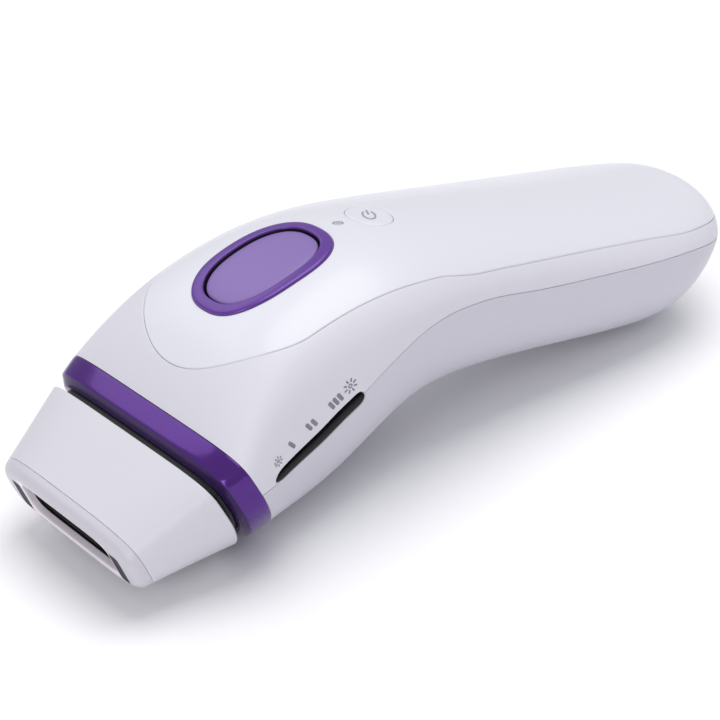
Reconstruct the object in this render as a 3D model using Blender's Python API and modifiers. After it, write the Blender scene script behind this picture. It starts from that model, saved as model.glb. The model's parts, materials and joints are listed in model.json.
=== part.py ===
"""Handheld IPL hair remover: curved handle with an oval treatment button, a collar ring and a pull-off
treatment cap with its window, and the lamp, cooler, fan and electronics inside.
Every length below is in millimetres. X runs from the treatment face (low X) to the tail (high X), +Z is up,
and the object lies on two small flats under the head and the tail at Z = 0. It is symmetric about Y = 0,
apart from the indicator window, which is on the -Y side."""
import math

import bmesh
import bpy
import numpy as np
from mathutils import Matrix, Vector

MM = 0.001

# ------------------------------------------------------------------ driving dimensions
# Spline control stations of the body from the collar to the tail.
TOP_X = [-64.6, -54.3, -35.5, -13.8, 9.3, 36.2, 63.2, 86.8, 93.6, 86.1]
TOP_Z = [32.4, 45.9, 53.2, 55.6, 50.2, 43.0, 35.6, 29.8, 29.4, 13.7]
BOTTOM_X = [-52.2, -37.3, -20.8, -5.1, 15.3, 37.1, 53.5, 67.7, 78.2, 86.1]
BOTTOM_Z = [1.2, -1.8, 5.8, 11.9, 10.8, 7.1, 2.1, -1.6, 0.3, 13.7]
HALF_WIDTH = [34.0, 29.5, 30.5, 29.2, 27.6, 27.7, 29.4, 27.4, 16.5, 0.0]
SQUARE_TOP = [5.0, 3.4, 2.4, 1.95, 2.0, 1.95, 1.95, 2.15, 2.0, 2.0]
SQUARE_LOW = [1.95, 2.2, 2.15, 1.95, 2.3, 2.6, 2.05, 1.95, 2.05, 2.3]
WAIST = 0.69                 # widest line, as a share of the height above the bottom
WALL = 2.4                   # shell thickness
GAP = 0.3                    # seam and assembly clearance

# Side seam between upper and lower shell, X and Z
SEAM_X = [-77.0, -60.6, -54.5, -47.3, -41.2, -38.4, -30.0, -19.2, -12.0, -5.0, 4.5, 25.0, 55.0, 72.0, 82.0, 108.0]
SEAM_Z = [22.5, 22.1, 21.9, 22.9, 24.9, 26.4, 30.7, 35.7, 38.1, 39.0, 38.2, 33.2, 27.5, 24.4, 22.1, 16.0]

# Glossy top cover: outline seen from above round the nose, and its lower edge seen from the side
COVER_FRONT_X = -58.6
COVER_NOSE = 21.0
COVER_HALF_WIDTH = 24.9
COVER_FLARE_X = [-2.0, 3.0, 18.0, 28.0, 110.0]
COVER_FLARE_Y = [24.9, 25.7, 30.0, 34.0, 34.0]
COVER_EDGE_X = [-77.0, -32.0, -6.0, 3.0, 12.0, 18.8, 42.8, 58.6, 72.1, 77.6, 90.0, 110.0]
COVER_EDGE_Z = [25.5, 39.5, 44.5, 44.1, 42.3, 40.7, 35.1, 31.3, 27.9, 26.8, 24.3, 20.1]
COVER_THICKNESS = 1.3

RING_LENGTH = 6.6            # collar ring, along the head axis
RING_TAPER = 0.05            # share lost over its length
CAP_GAP = 1.5                # dark gap between collar ring and treatment cap

FACE_CENTRE = (-88.7, 11.5)  # centre of the treatment face, X and Z
FACE_TILT = 17.0             # degrees off vertical
FACE_HALF_WIDTH = 25.7
FACE_HALF_HEIGHT = 7.8
FACE_SQUARE = 3.2
CAP_SEAM = 0.86              # where the front frame starts, as a share of the cap's length
WINDOW_HALF_WIDTH = 17.2
WINDOW_HALF_HEIGHT = 4.7
SENSOR_Y = 19.6
SENSOR_Z = -0.8              # sensors' centre, below the middle of the face
RIM_ROUND = 2.0              # rounding of the face's outer rim
SENSOR_SIZE = (2.9, 8.8)    # width, length

TRIGGER_U = 0.168            # station of the treatment button's centre
BEZEL_HALF = (16.4, 12.2)    # half length, half width
BEZEL_BAND = 2.7
BEZEL_SQUARE = 2.5
TRIGGER_TRAVEL = 1.2

POWER_U = 0.355
POWER_HALF = (4.9, 6.2)
POWER_TRAVEL = 0.7
LED_U = 0.302
LED_RADIUS = 1.1

SLOT_U = [0.0167, 0.0442, 0.0753, 0.1089, 0.1461]
SLOT_ANGLE = [-6.3, -9.4, -11.3, -11.25, -11.1]
SLOT_HALF = 1.4

INLET_Z = 14.0
INLET_RIM = 83             # the inlet's rim, set back into the tail
CAP_TRAVEL = 10.0

# ------------------------------------------------------------------ scene and materials
for old in list(bpy.data.objects):
    bpy.data.objects.remove(old, do_unlink=True)
parts = bpy.data.collections.new("ipl_hair_remover")
cutters = bpy.data.collections.new("cutters")
cutters.hide_render = True
bpy.context.scene.collection.children.link(parts)
bpy.context.scene.collection.children.link(cutters)


def material(name, colour, roughness, metallic=0.0, transmission=0.0):
    mat = bpy.data.materials.new(name)
    mat.use_nodes = True
    bsdf = mat.node_tree.nodes["Principled BSDF"]
    bsdf.inputs["Base Color"].default_value = (*colour, 1.0)
    bsdf.inputs["Roughness"].default_value = roughness
    bsdf.inputs["Metallic"].default_value = metallic
    bsdf.inputs["Transmission Weight"].default_value = transmission
    mat.diffuse_color = (*colour, 1.0)
    return mat


# ------------------------------------------------------------------ shape functions
def spline(ctrl, u):
    """Clamped uniform cubic B-spline through the control values, u in 0..1."""
    c = np.asarray(ctrl, float)
    n, k = len(c), 3
    t = np.concatenate([[0.0] * k, np.linspace(0, 1, n - k + 1), [1.0] * k])
    u = np.clip(np.atleast_1d(np.asarray(u, float)), 0, 1 - 1e-9)
    b = [((u >= t[i]) & (u < t[i + 1])).astype(float) for i in range(n + k)]
    for p in range(1, k + 1):
        nxt = []
        for i in range(n + k - p):
            lo = 0.0 if t[i + p] == t[i] else (u - t[i]) / (t[i + p] - t[i]) * b[i]
            hi = 0.0 if t[i + p + 1] == t[i + 1] else (t[i + p + 1] - u) / (t[i + p + 1] - t[i + 1]) * b[i + 1]
            nxt.append(lo + hi)
        b = nxt
    return sum(b[i] * c[i] for i in range(n))


def power_of(value, n):
    return np.sign(value) * np.abs(value) ** (2.0 / n)


def body(u, th):
    """Skin points: th = 0 is the -Y side, pi/2 the top, pi the +Y side, 3pi/2 the bottom."""
    u = np.atleast_1d(np.asarray(u, float))[:, None]
    th = np.atleast_1d(np.asarray(th, float))[None]
    flat = u[:, 0]
    top = np.stack([spline(TOP_X, flat), spline(TOP_Z, flat)], -1)[:, None]
    low = np.stack([spline(BOTTOM_X, flat), spline(BOTTOM_Z, flat)], -1)[:, None]
    w = spline(HALF_WIDTH, flat)[:, None]
    s, c = np.sin(th), np.cos(th)
    n = np.where(s >= 0, spline(SQUARE_TOP, flat)[:, None], spline(SQUARE_LOW, flat)[:, None])
    mid = low + (top - low) * WAIST
    h = power_of(s, n)
    xz = mid + np.where(h[..., None] >= 0, h[..., None] * (top - mid), h[..., None] * (mid - low))
    return np.stack([xz[..., 0], -w * power_of(c, n), xz[..., 1]], -1)


def skin(u, th, inset=0.0):
    """Skin points moved inwards by inset along the surface normal."""
    u = np.atleast_1d(np.asarray(u, float))
    th = np.atleast_1d(np.asarray(th, float))
    p = body(u, th)
    if inset == 0.0:
        return p
    du = body(np.clip(u + 0.003, 0, 1), th) - body(np.clip(u - 0.003, 0, 1), th)
    dv = body(u, th + 0.02) - body(u, th - 0.02)
    nrm = np.cross(dv, du)
    nrm /= np.linalg.norm(nrm, axis=-1)[..., None] + 1e-12
    core = np.stack([spline(TOP_X, u) * WAIST + spline(BOTTOM_X, u) * (1 - WAIST), 0 * u, spline(TOP_Z, u) * WAIST + spline(BOTTOM_Z, u) * (1 - WAIST)], -1)
    out = np.einsum("uvi,uvi->uv", nrm, p - core[:, None])
    nrm *= np.where(out < 0, -1.0, 1.0)[..., None]
    return p - nrm * inset


def frame(origin, x_dir, z_dir):
    """Matrix from a local frame (mm) to the object's frame (mm)."""
    x = Vector(x_dir).normalized()
    z = Vector(z_dir).normalized()
    y = z.cross(x).normalized()
    z = x.cross(y)
    m = Matrix((x, y, z)).transposed().to_4x4()
    m.translation = Vector(origin)
    return m


# Collar plane: E runs up the section, A is the head axis, pointing forwards out of the head
T0 = Vector((TOP_X[0], 0, TOP_Z[0]))
B0 = Vector((BOTTOM_X[0], 0, BOTTOM_Z[0]))
E = (T0 - B0).normalized()
A = Vector((-E.z, 0, E.x))
COLLAR = (T0 + B0) / 2
NECK = frame(COLLAR, -A, E)          # local X runs backwards from the collar plane, local Z up the section
tilt = math.radians(FACE_TILT)
FACE_UP = Vector((-math.sin(tilt), 0, math.cos(tilt)))
FACE_OUT = Vector((-math.cos(tilt), 0, -math.sin(tilt)))
FACE = frame((FACE_CENTRE[0], 0, FACE_CENTRE[1]), FACE_OUT, FACE_UP)   # local X runs out of the window


# Lamp axis: from the collar to the middle of the treatment face
LAMP_OUT = (Vector((FACE_CENTRE[0], 0, FACE_CENTRE[1])) - (COLLAR + A * RING_LENGTH)).normalized()
LAMP = frame((FACE_CENTRE[0], 0, FACE_CENTRE[1]), LAMP_OUT, (LAMP_OUT.z, 0, -LAMP_OUT.x)) @ Matrix.Translation((0, 0, 2.3))


def ring_section(th, forward, inset):
    """Points of the collar section, moved forward along the head axis and inset in its plane."""
    k = 1.0 - RING_TAPER * forward / RING_LENGTH
    half = (T0 - B0).length / 2
    w = HALF_WIDTH[0] * k - inset
    up, down = half * k - inset, half * k - inset
    waist = (2 * WAIST - 1) * half * k
    s, c = np.sin(th), np.cos(th)
    n = np.where(s >= 0, SQUARE_TOP[0], SQUARE_LOW[0])
    h = power_of(s, n)
    z = waist + np.where(h >= 0, h * (up - waist), h * (down + waist))
    y = -w * power_of(c, n)
    base = COLLAR + A * forward
    return np.stack([base.x + E.x * z, y, base.z + E.z * z], -1)


def face_section(th, w, h, n, out=0.0):
    y = -w * power_of(np.cos(th), n)
    z = h * power_of(np.sin(th), n)
    o = np.array([FACE_CENTRE[0], 0, FACE_CENTRE[1]]) + np.array(FACE_OUT) * out
    return o + np.stack([FACE_UP.x * z, y, FACE_UP.z * z], -1)


CAP_START = RING_LENGTH + CAP_GAP


def cap_skin(t, th, inset=0.0):
    a = ring_section(th, CAP_START, inset)
    b = face_section(th, FACE_HALF_WIDTH - inset, FACE_HALF_HEIGHT - inset, FACE_SQUARE)
    return a * (1 - t) + b * t


def top_normal(u):
    """Origin and frame on the top centreline: local X along the handle, local Z out of the skin."""
    o = body([u], [math.pi / 2])[0, 0]
    t = body([u + 0.01], [math.pi / 2])[0, 0] - body([u - 0.01], [math.pi / 2])[0, 0]
    x = Vector(t).normalized()
    z = Vector((-x.z, 0, x.x))
    return frame(o, x, z)


_u = np.linspace(0.0, 0.75, 226)
_th = np.linspace(math.radians(20), math.radians(160), 141)
_grid = body(_u, _th)


def skin_height(fr, x, y):
    """Height of the skin above a local frame's XY plane at local x, y."""
    inv = np.array(fr.inverted())
    q = _grid.reshape(-1, 3) @ inv[:3, :3].T + inv[:3, 3]
    q = q.reshape(_grid.shape)
    heights = np.empty(len(_u))
    xs = np.empty(len(_u))
    for i in range(len(_u)):
        order = np.argsort(q[i, :, 1])
        heights[i] = np.interp(y, q[i, order, 1], q[i, order, 2])
        xs[i] = np.interp(y, q[i, order, 1], q[i, order, 0])
    return float(np.interp(x, xs, heights))


def oval(a, b, n, count):
    ph = np.linspace(0, 2 * math.pi, count + 1)[:-1]
    return [(a * float(power_of(math.cos(p), n)), b * float(power_of(math.sin(p), n))) for p in ph]


# ------------------------------------------------------------------ object builders
def finish(name, bm, mat, origin=None, smooth=35, cutter=False):
    bmesh.ops.recalc_face_normals(bm, faces=bm.faces)
    me = bpy.data.meshes.new(name)
    bm.to_mesh(me)
    bm.free()
    ob = bpy.data.objects.new(name, me)
    if origin is not None:
        o = Vector(origin) * MM
        me.transform(Matrix.Translation(-o))
        ob.location = o
    if cutter:
        ob.hide_render = True
        ob.display_type = "WIRE"
        cutters.objects.link(ob)
    else:
        me.materials.append(mat)
        parts.objects.link(ob)
        if smooth:
            me.shade_smooth()
            me.set_sharp_from_angle(angle=math.radians(smooth))
    return ob


def loft(name, rows, mat=None, ring=False, pole=None, origin=None, cutter=False):
    """Closed solid through closed rows of points: capped at both ends, joined end to start (ring), or run to a pole."""
    bm = bmesh.new()
    v = [[bm.verts.new(Vector(p) * MM) for p in row] for row in rows]
    n = len(v[0])
    pairs = list(zip(v, v[1:])) + ([(v[-1], v[0])] if ring else [])
    for a, b in pairs:
        for j in range(n):
            bm.faces.new((a[j], a[(j + 1) % n], b[(j + 1) % n], b[j]))
    if not ring:
        bm.faces.new(v[0][::-1])
        if pole is None:
            bm.faces.new(v[-1])
        else:
            tip = bm.verts.new(Vector(pole) * MM)
            for j in range(n):
                bm.faces.new((v[-1][j], v[-1][(j + 1) % n], tip))
    bmesh.ops.triangulate(bm, faces=bm.faces, quad_method="SHORT_EDGE", ngon_method="BEAUTY")
    return finish(name, bm, mat, origin=origin, cutter=cutter)


def box(name, fr, centre, size, mat=None, origin=None, cutter=False, bevel=0.0):
    bm = bmesh.new()
    m = Matrix.Scale(MM, 4) @ fr @ Matrix.Translation(Vector(centre)) @ Matrix.Diagonal((*size, 1.0))
    bmesh.ops.create_cube(bm, size=1.0, matrix=m)
    ob = finish(name, bm, mat, origin=origin, smooth=0, cutter=cutter)
    if bevel:
        b = ob.modifiers.new("edge", "BEVEL")
        b.width = bevel * MM
        b.segments = 1
    return ob


AXIS = {"x": Matrix.Rotation(math.pi / 2, 4, "Y"), "y": Matrix.Rotation(-math.pi / 2, 4, "X"), "z": Matrix.Identity(4)}


def cylinder(name, fr, centre, axis, radius, length, mat=None, segments=20, radius2=None, origin=None, cutter=False):
    bm = bmesh.new()
    m = Matrix.Scale(MM, 4) @ fr @ Matrix.Translation(Vector(centre)) @ AXIS[axis]
    bmesh.ops.create_cone(bm, cap_ends=True, segments=segments, radius1=radius, radius2=radius if radius2 is None else radius2, depth=length, matrix=m)
    return finish(name, bm, mat, origin=origin, cutter=cutter)


def plate(name, outlines, fr, z0, z1, mat=None, origin=None, cutter=False):
    """Flat piece: 2D outlines (the first outer, the rest holes) given a thickness from z0 to z1."""
    cu = bpy.data.curves.new(name, "CURVE")
    cu.dimensions = "2D"
    cu.fill_mode = "BOTH"
    cu.extrude = (z1 - z0) / 2 * MM
    for pts in outlines:
        sp = cu.splines.new("POLY")
        sp.points.add(len(pts) - 1)
        for p, (x, y) in zip(sp.points, pts):
            p.co = (x * MM, y * MM, 0, 1)
        sp.use_cyclic_u = True
    tmp = bpy.data.objects.new(name + "_outline", cu)
    parts.objects.link(tmp)
    bpy.context.view_layer.update()
    me = bpy.data.meshes.new_from_object(tmp.evaluated_get(bpy.context.evaluated_depsgraph_get()))
    bpy.data.objects.remove(tmp, do_unlink=True)
    bm = bmesh.new()
    bm.from_mesh(me)
    bpy.data.meshes.remove(me)
    bmesh.ops.remove_doubles(bm, verts=bm.verts, dist=1e-6)
    m = fr.copy()
    m.translation = fr.translation * MM
    m = m @ Matrix.Translation((0, 0, (z0 + z1) / 2 * MM))
    bmesh.ops.transform(bm, matrix=m, verts=bm.verts)
    return finish(name, bm, mat, origin=origin, smooth=30, cutter=cutter)


def turned(name, profile, fr, mat, steps=20, origin=None):
    """Turned solid: profile of (radius, height) from the top of its outer side to the bottom, about local Z."""
    bm = bmesh.new()
    vs = [bm.verts.new((r * MM, 0, z * MM)) for r, z in profile]
    for a, b in zip(vs, vs[1:]):
        bm.edges.new((a, b))
    me = bpy.data.meshes.new(name)
    bm.to_mesh(me)
    bm.free()
    me.materials.append(mat)
    ob = bpy.data.objects.new(name, me)
    m = fr.copy()
    m.translation = fr.translation * MM
    ob.matrix_world = m
    s = ob.modifiers.new("turn", "SCREW")
    s.axis = "Z"
    s.steps = steps
    s.render_steps = steps
    s.use_merge_vertices = True
    s.merge_threshold = 0.00001
    s.use_smooth_shade = True
    parts.objects.link(ob)
    return ob


def boolean(ob, tool, operation="DIFFERENCE"):
    m = ob.modifiers.new(operation.lower(), "BOOLEAN")
    m.operation = operation
    m.solver = "EXACT"
    m.object = tool


def circle(x, y, r, count):
    return [(x + r * math.cos(2 * math.pi * i / count), y + r * math.sin(2 * math.pi * i / count)) for i in range(count)]


def rectangle(x, y, w, h):
    return [(x - w / 2, y - h / 2), (x + w / 2, y - h / 2), (x + w / 2, y + h / 2), (x - w / 2, y + h / 2)]


WHITE_GLOSS = material("white_gloss", (0.86, 0.86, 0.9), 0.12)
WHITE_SATIN = material("white_satin", (0.78, 0.77, 0.83), 0.35)
GREY_SATIN = material("lower_white", (0.7, 0.69, 0.76), 0.4)
PURPLE_PEARL = material("purple_pearl", (0.13, 0.05, 0.3), 0.18, 0.35)
PURPLE_GLOSS = material("purple_gloss", (0.17, 0.07, 0.36), 0.15)
LILAC = material("lilac_matte", (0.3, 0.2, 0.52), 0.5)
SMOKED = material("smoked_lens", (0.02, 0.02, 0.025), 0.1)
SENSOR = material("sensor_grey", (0.12, 0.12, 0.13), 0.4)
CLEAR = material("lamp_glass", (0.9, 0.95, 0.97), 0.03, 0.0, 0.8)
FILTER = material("filter_glass", (0.75, 0.35, 0.2), 0.05, 0.0, 0.6)
ALUMINIUM = material("aluminium", (0.8, 0.8, 0.82), 0.3, 1.0)
STEEL = material("steel", (0.6, 0.6, 0.62), 0.3, 1.0)
BRASS = material("brass_contact", (0.8, 0.6, 0.25), 0.3, 1.0)
BLACK = material("black_plastic", (0.03, 0.03, 0.035), 0.5)
DARK = material("dark_grey_plastic", (0.12, 0.12, 0.13), 0.5)
BOARD = material("circuit_board", (0.03, 0.22, 0.08), 0.5)
WIRE_YELLOW = material("transformer_tape", (0.75, 0.6, 0.15), 0.5)
LED_WHITE = material("led_white", (0.9, 0.9, 0.8), 0.3)
LIGHT_PIPE = material("light_pipe", (0.55, 0.55, 0.6), 0.25)
MESH_GREY = material("filter_mesh", (0.3, 0.3, 0.32), 0.7)

AROUND = [2 * math.pi * i / 32 for i in range(32)]
STATIONS = [0, 0.02, 0.05, 0.085, 0.125, 0.17, 0.22, 0.27, 0.33, 0.39, 0.45, 0.51, 0.57, 0.63, 0.69, 0.74, 0.79, 0.83, 0.865, 0.895, 0.92, 0.942, 0.96, 0.975, 0.987]
WORLD = Matrix.Identity(4)


def body_solid(name, inset, front, ends, mat=None, cutter=False, pole=True):
    """Closed body solid at an inset, with its front moved forward of the collar plane."""
    us = [u for u in STATIONS if u <= ends]
    rows = list(skin(us, AROUND, inset))
    if front:
        rows = [rows[0] + np.array(A) * front] + rows
    tip = None
    if pole:
        tip = body([1.0], [0.0])[0, 0] + np.array([-inset, 0, 0])
    return loft(name, rows, mat, pole=tip, cutter=cutter)


# ------------------------------------------------------------------ shared cutters
floor_cut = box("floor_cut", WORLD, (0, 0, -20), (400, 200, 40), cutter=True)
inner = body_solid("inner_cut", WALL, 4.0, 0.961, cutter=True, pole=False)

seam = list(zip(SEAM_X, SEAM_Z))
XZ = Matrix(((1, 0, 0, 0), (0, 0, 1, 0), (0, 1, 0, 0), (0, 0, 0, 1)))   # plate plane becomes the XZ plane


def side_prism(name, pts):
    return plate(name, [pts], XZ, -60, 60, cutter=True)


below = side_prism("below_seam", [(x, z + GAP / 2) for x, z in seam] + [(seam[-1][0], -20), (seam[0][0], -20)])
above = side_prism("above_seam", [(x, z - GAP / 2) for x, z in seam] + [(seam[-1][0], 80), (seam[0][0], 80)])


def cover_outline(grow):
    """Plan outline of the top cover: elliptical nose, straight sides, wide past the tail."""
    pts = []
    for i in range(10):
        a = math.pi / 2 * i / 9
        pts.append((COVER_FRONT_X - grow + COVER_NOSE * (1 - math.cos(a)), (COVER_HALF_WIDTH + grow) * math.sin(a)))
    pts += [(x, y + grow) for x, y in zip(COVER_FLARE_X, COVER_FLARE_Y)]
    return pts + [(x, -y) for x, y in pts[1:]][::-1]


def cover_side(grow):
    line = [(x, z - grow) for x, z in zip(COVER_EDGE_X, COVER_EDGE_Z)]
    return line + [(line[-1][0], 90), (line[0][0], 90)]


cover_prism = plate("cover_prism", [cover_outline(0.0)], WORLD, 0, 85, cutter=True)
boolean(cover_prism, side_prism("cover_side", cover_side(0.0)), "INTERSECT")
recess_prism = plate("recess_prism", [cover_outline(GAP)], WORLD, 0, 86, cutter=True)
boolean(recess_prism, side_prism("recess_side", cover_side(GAP)), "INTERSECT")
cover_under = body_solid("cover_under", COVER_THICKNESS, 3.0, 0.976, cutter=True)
recess_under = body_solid("recess_under", COVER_THICKNESS + GAP, 3.5, 0.976, cutter=True)
boolean(recess_prism, recess_under)

TRIGGER = top_normal(TRIGGER_U)
POWER = top_normal(POWER_U)
LED = top_normal(LED_U)
INLET = frame((0, 0, INLET_Z), (0, 1, 0), (1, 0, 0))        # local Z runs out of the tail

bezel_hole = plate("bezel_hole", [oval(BEZEL_HALF[0] + GAP, BEZEL_HALF[1] + GAP, BEZEL_SQUARE, 36)], TRIGGER, -14, 12, cutter=True)
power_hole = plate("power_hole", [oval(POWER_HALF[0] + GAP, POWER_HALF[1] + GAP, 2.0, 24)], POWER, -6, 6, cutter=True)
led_hole = plate("led_hole", [circle(0, 0, LED_RADIUS + GAP, 12)], LED, -6, 6, cutter=True)


def slot_band(name, grow, d_out, d_in, mat=None, cutter=False):
    """Band along the indicator slot between two depths under the skin."""
    rows = []
    us = np.interp(np.linspace(0, 1, 9), np.linspace(0, 1, 5), SLOT_U)
    an = np.interp(us, SLOT_U, SLOT_ANGLE)
    us = us + np.linspace(-1, 1, 9) * grow * 0.006
    for i, (u, a) in enumerate(zip(us, an)):
        taper = 0.45 if i in (0, 8) else (0.9 if i in (1, 7) else 1.0)
        half = (SLOT_HALF * taper + grow) / spline(HALF_WIDTH, u)[0]
        c = math.radians(a)
        o = skin([u], [c - half, c + half], d_out)[0]
        k = skin([u], [c + half, c - half], d_in)[0]
        rows.append(np.concatenate([o, k]))
    return loft(name, rows, mat, cutter=cutter)


slot_cut = slot_band("slot_cut", GAP, -3.0, 6.0, cutter=True)

# ------------------------------------------------------------------ shells
lower = body_solid("lower_shell", 0.0, 0.0, 0.99, GREY_SATIN)
boolean(lower, inner)
boolean(lower, above)
boolean(lower, floor_cut)
boolean(lower, slot_cut)

upper = body_solid("upper_shell", 0.0, 0.0, 0.99, WHITE_SATIN)
boolean(upper, bezel_hole)
boolean(upper, power_hole)
boolean(upper, led_hole)
boolean(upper, slot_cut)
boolean(upper, inner)
boolean(upper, recess_prism)
boolean(upper, below)

cover = body_solid("top_cover", 0.0, 0.0, 0.99, WHITE_GLOSS)
boolean(cover, bezel_hole)
boolean(cover, power_hole)
boolean(cover, led_hole)
boolean(cover, cover_under)
boolean(cover, cover_prism, "INTERSECT")

# tail: inlet opening and air slots
inlet_hole = plate("inlet_hole", [oval(8.2 + GAP, 6.0 + GAP, 4.0, 24)], INLET, INLET_RIM - 15, 110, cutter=True)
boolean(lower, inlet_hole)
for i in range(5):
    vent = box("vent_%d" % i, WORLD, (-29.0 + 5.0 * i, 0, 4.5), (1.8, 16, 24), cutter=True)
    boolean(lower, vent)

# ------------------------------------------------------------------ collar ring and treatment cap
TH = np.array(AROUND)
collar_rows = [
    ring_section(TH, GAP, 0.1), ring_section(TH, 0.9, -0.35), ring_section(TH, RING_LENGTH - 1.3, -0.35), ring_section(TH, RING_LENGTH, 1.1),
    ring_section(TH, RING_LENGTH, 4.4), ring_section(TH, GAP, 4.4),
]
collar = loft("collar_ring", collar_rows, PURPLE_PEARL, ring=True)
boolean(collar, floor_cut)

cap_rows = [cap_skin(t, TH, 0.0) for t in (0.0, 0.2, 0.4, 0.6, CAP_SEAM - 0.008)]
cap_rows += [cap_skin(t, TH, 2.0) for t in (CAP_SEAM - 0.008, 0.6, 0.4, 0.2, 0.0)]
CAP_ORIGIN = COLLAR + A * CAP_START
cap = loft("cap_shell", cap_rows, WHITE_SATIN, ring=True, origin=CAP_ORIGIN)
boolean(cap, floor_cut)

frame_rows = [cap_skin(CAP_SEAM + 0.008, TH, 0.0), cap_skin(0.925, TH, 0.0), cap_skin(0.972, TH, 0.45), cap_skin(1.0, TH, RIM_ROUND)]
frame_rows += [face_section(TH, WINDOW_HALF_WIDTH, WINDOW_HALF_HEIGHT, 6.0), face_section(TH, WINDOW_HALF_WIDTH, WINDOW_HALF_HEIGHT, 6.0, -2.0)]
frame_rows += [face_section(TH, FACE_HALF_WIDTH - 2.2, FACE_HALF_HEIGHT - 2.0, FACE_SQUARE, -2.0), cap_skin(CAP_SEAM + 0.008, TH, 2.0)]
face = loft("face_frame", frame_rows, WHITE_SATIN, ring=True, origin=CAP_ORIGIN)
YZ = FACE @ Matrix(((0, 0, 1, 0), (1, 0, 0, 0), (0, 1, 0, 0), (0, 0, 0, 1)))   # plate plane becomes the face plane
for side, name in ((-1, "sensor_left"), (1, "sensor_right")):

    def bar(grow, side=side):
        pts = oval(SENSOR_SIZE[0] / 2 + grow, SENSOR_SIZE[1] / 2 + grow, 7.0, 20)
        return [(side * SENSOR_Y + x, SENSOR_Z + y) for x, y in pts]

    pocket = plate("pocket_" + name, [bar(GAP)], YZ, -6, 4, cutter=True)
    boolean(face, pocket)
    plate(name, [bar(0.0)], YZ, -1.9, -0.3, SENSOR, origin=CAP_ORIGIN)

# black light guard behind the window's lip
liner_rows = [
    face_section(TH[::2], WINDOW_HALF_WIDTH + 1.0, WINDOW_HALF_HEIGHT + 0.6, 6.0, -2.3), face_section(TH[::2], WINDOW_HALF_WIDTH + 1.0, WINDOW_HALF_HEIGHT + 0.6, 6.0, -6.5),
    face_section(TH[::2], WINDOW_HALF_WIDTH, WINDOW_HALF_HEIGHT, 6.0, -6.5), face_section(TH[::2], WINDOW_HALF_WIDTH, WINDOW_HALF_HEIGHT, 6.0, -2.3),
]
loft("window_liner", liner_rows, BLACK, ring=True, origin=CAP_ORIGIN)

# ------------------------------------------------------------------ lamp unit, on the lamp axis (local X towards the window)
box("filter_glass", LAMP, (-13.0, 0, 0), (1.8, 34.0, 12.4), FILTER)
cylinder("flash_lamp", LAMP, (-18.6, 0, 0), "y", 2.4, 34.0, CLEAR, 16)
for side, y in (("left", -18.9), ("right", 18.9)):
    cylinder("lamp_electrode_" + side, LAMP, (-18.6, y, 0), "y", 2.7, 3.2, STEEL, 14)
# reflector: bent sheet, open forwards
XZF = LAMP @ XZ
arc = [(-20.4 + 3.2 - 5.0 * math.cos(math.radians(a)) * 1.0, 5.0 * math.sin(math.radians(a))) for a in range(-90, 91, 22)]
outer_arc = [(-17.2 - 5.7 * math.cos(math.radians(a)), 5.7 * math.sin(math.radians(a))) for a in range(-90, 91, 22)]
reflector_outline = [(-14.4, -5.9), (-17.2, -5.0)] + arc[1:-1] + [(-17.2, 5.0), (-14.4, 5.9), (-14.4, 6.6), (-17.2, 5.7)] + outer_arc[1:-1][::-1] + [(-17.2, -5.7), (-14.4, -6.6)]
plate("reflector", [reflector_outline], XZF, -16.2, 16.2, ALUMINIUM)
# lamp holder: tray behind the reflector with two cheeks that carry the electrodes
plate("lamp_holder", [[(-13.6, 7.6), (-24.6, 7.6), (-24.6, -7.6), (-13.6, -7.6), (-13.6, -6.9), (-23.2, -6.9), (-23.2, 6.9), (-13.6, 6.9)]], XZF, -21.0, 21.0, BLACK)

# ------------------------------------------------------------------ heat sink and fan, in the neck frame (local X backwards)
comb = [(0, -19), (1.6, -19)]
for i in range(7):
    y = -19 + 38 * i / 6
    y0 = max(-19.0, y - 0.7)
    y1 = min(19.0, y + 0.7)
    comb += ([(1.6, y0)] if i else []) + [(9.0, y0), (9.0, y1)] + ([(1.6, y1)] if i < 6 else [])
comb += [(0, 19)]
comb = [p for i, p in enumerate(comb) if i == 0 or p != comb[i - 1]]
HEAT = NECK @ Matrix.Translation((2.0, 0, -0.5))
plate("heat_sink", [comb], HEAT, -8.5, 8.5, ALUMINIUM)

FAN_X = 13.4
YZN = NECK @ Matrix(((0, 0, 1, 0), (1, 0, 0, 0), (0, 1, 0, 0), (0, 0, 0, 1)))   # plate plane becomes the fan's plane
FAN_Z = -0.9
duct = plate("fan_housing", [rectangle(0, FAN_Z, 28.4, 28.4), circle(0, FAN_Z, 13.2, 28)], YZN, FAN_X, FAN_X + 8.0, BLACK)
back = plate("fan_back", [circle(0, FAN_Z, 5.6, 16)], YZN, FAN_X + 6.6, FAN_X + 8.0, cutter=True)
boolean(duct, back, "UNION")
for i in range(3):
    a = math.radians(90 + 120 * i)
    arm_frame = YZN @ Matrix.Translation((0, FAN_Z, 0)) @ Matrix.Rotation(a, 4, "Z")
    arm = box("fan_arm_%d" % i, arm_frame, (9.6, 0, FAN_X + 7.3), (9.6, 1.8, 1.3), cutter=True)
    boolean(duct, arm, "UNION")
pin_cut = cylinder("fan_pin", YZN, (0, FAN_Z, FAN_X + 4.7), "z", 0.9, 5.0, segments=10, cutter=True)
boolean(duct, pin_cut, "UNION")
impeller = []
BLADES = 7
for i in range(BLADES):
    a0 = 2 * math.pi * i / BLADES
    for r, da in ((4.8, 0.0), (8.8, 0.16), (12.4, 0.42), (12.4, 0.52), (8.8, 0.30), (4.8, 0.22)):
        impeller.append((r * math.cos(a0 + da), r * math.sin(a0 + da)))
FAN_PIVOT = YZN @ Vector((0, FAN_Z, FAN_X + 3.2))
rotor = plate("fan_rotor", [[(x, y + FAN_Z) for x, y in impeller], circle(0, FAN_Z, 1.25, 12)], YZN, FAN_X + 0.6, FAN_X + 5.8, DARK, origin=FAN_PIVOT)

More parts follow.
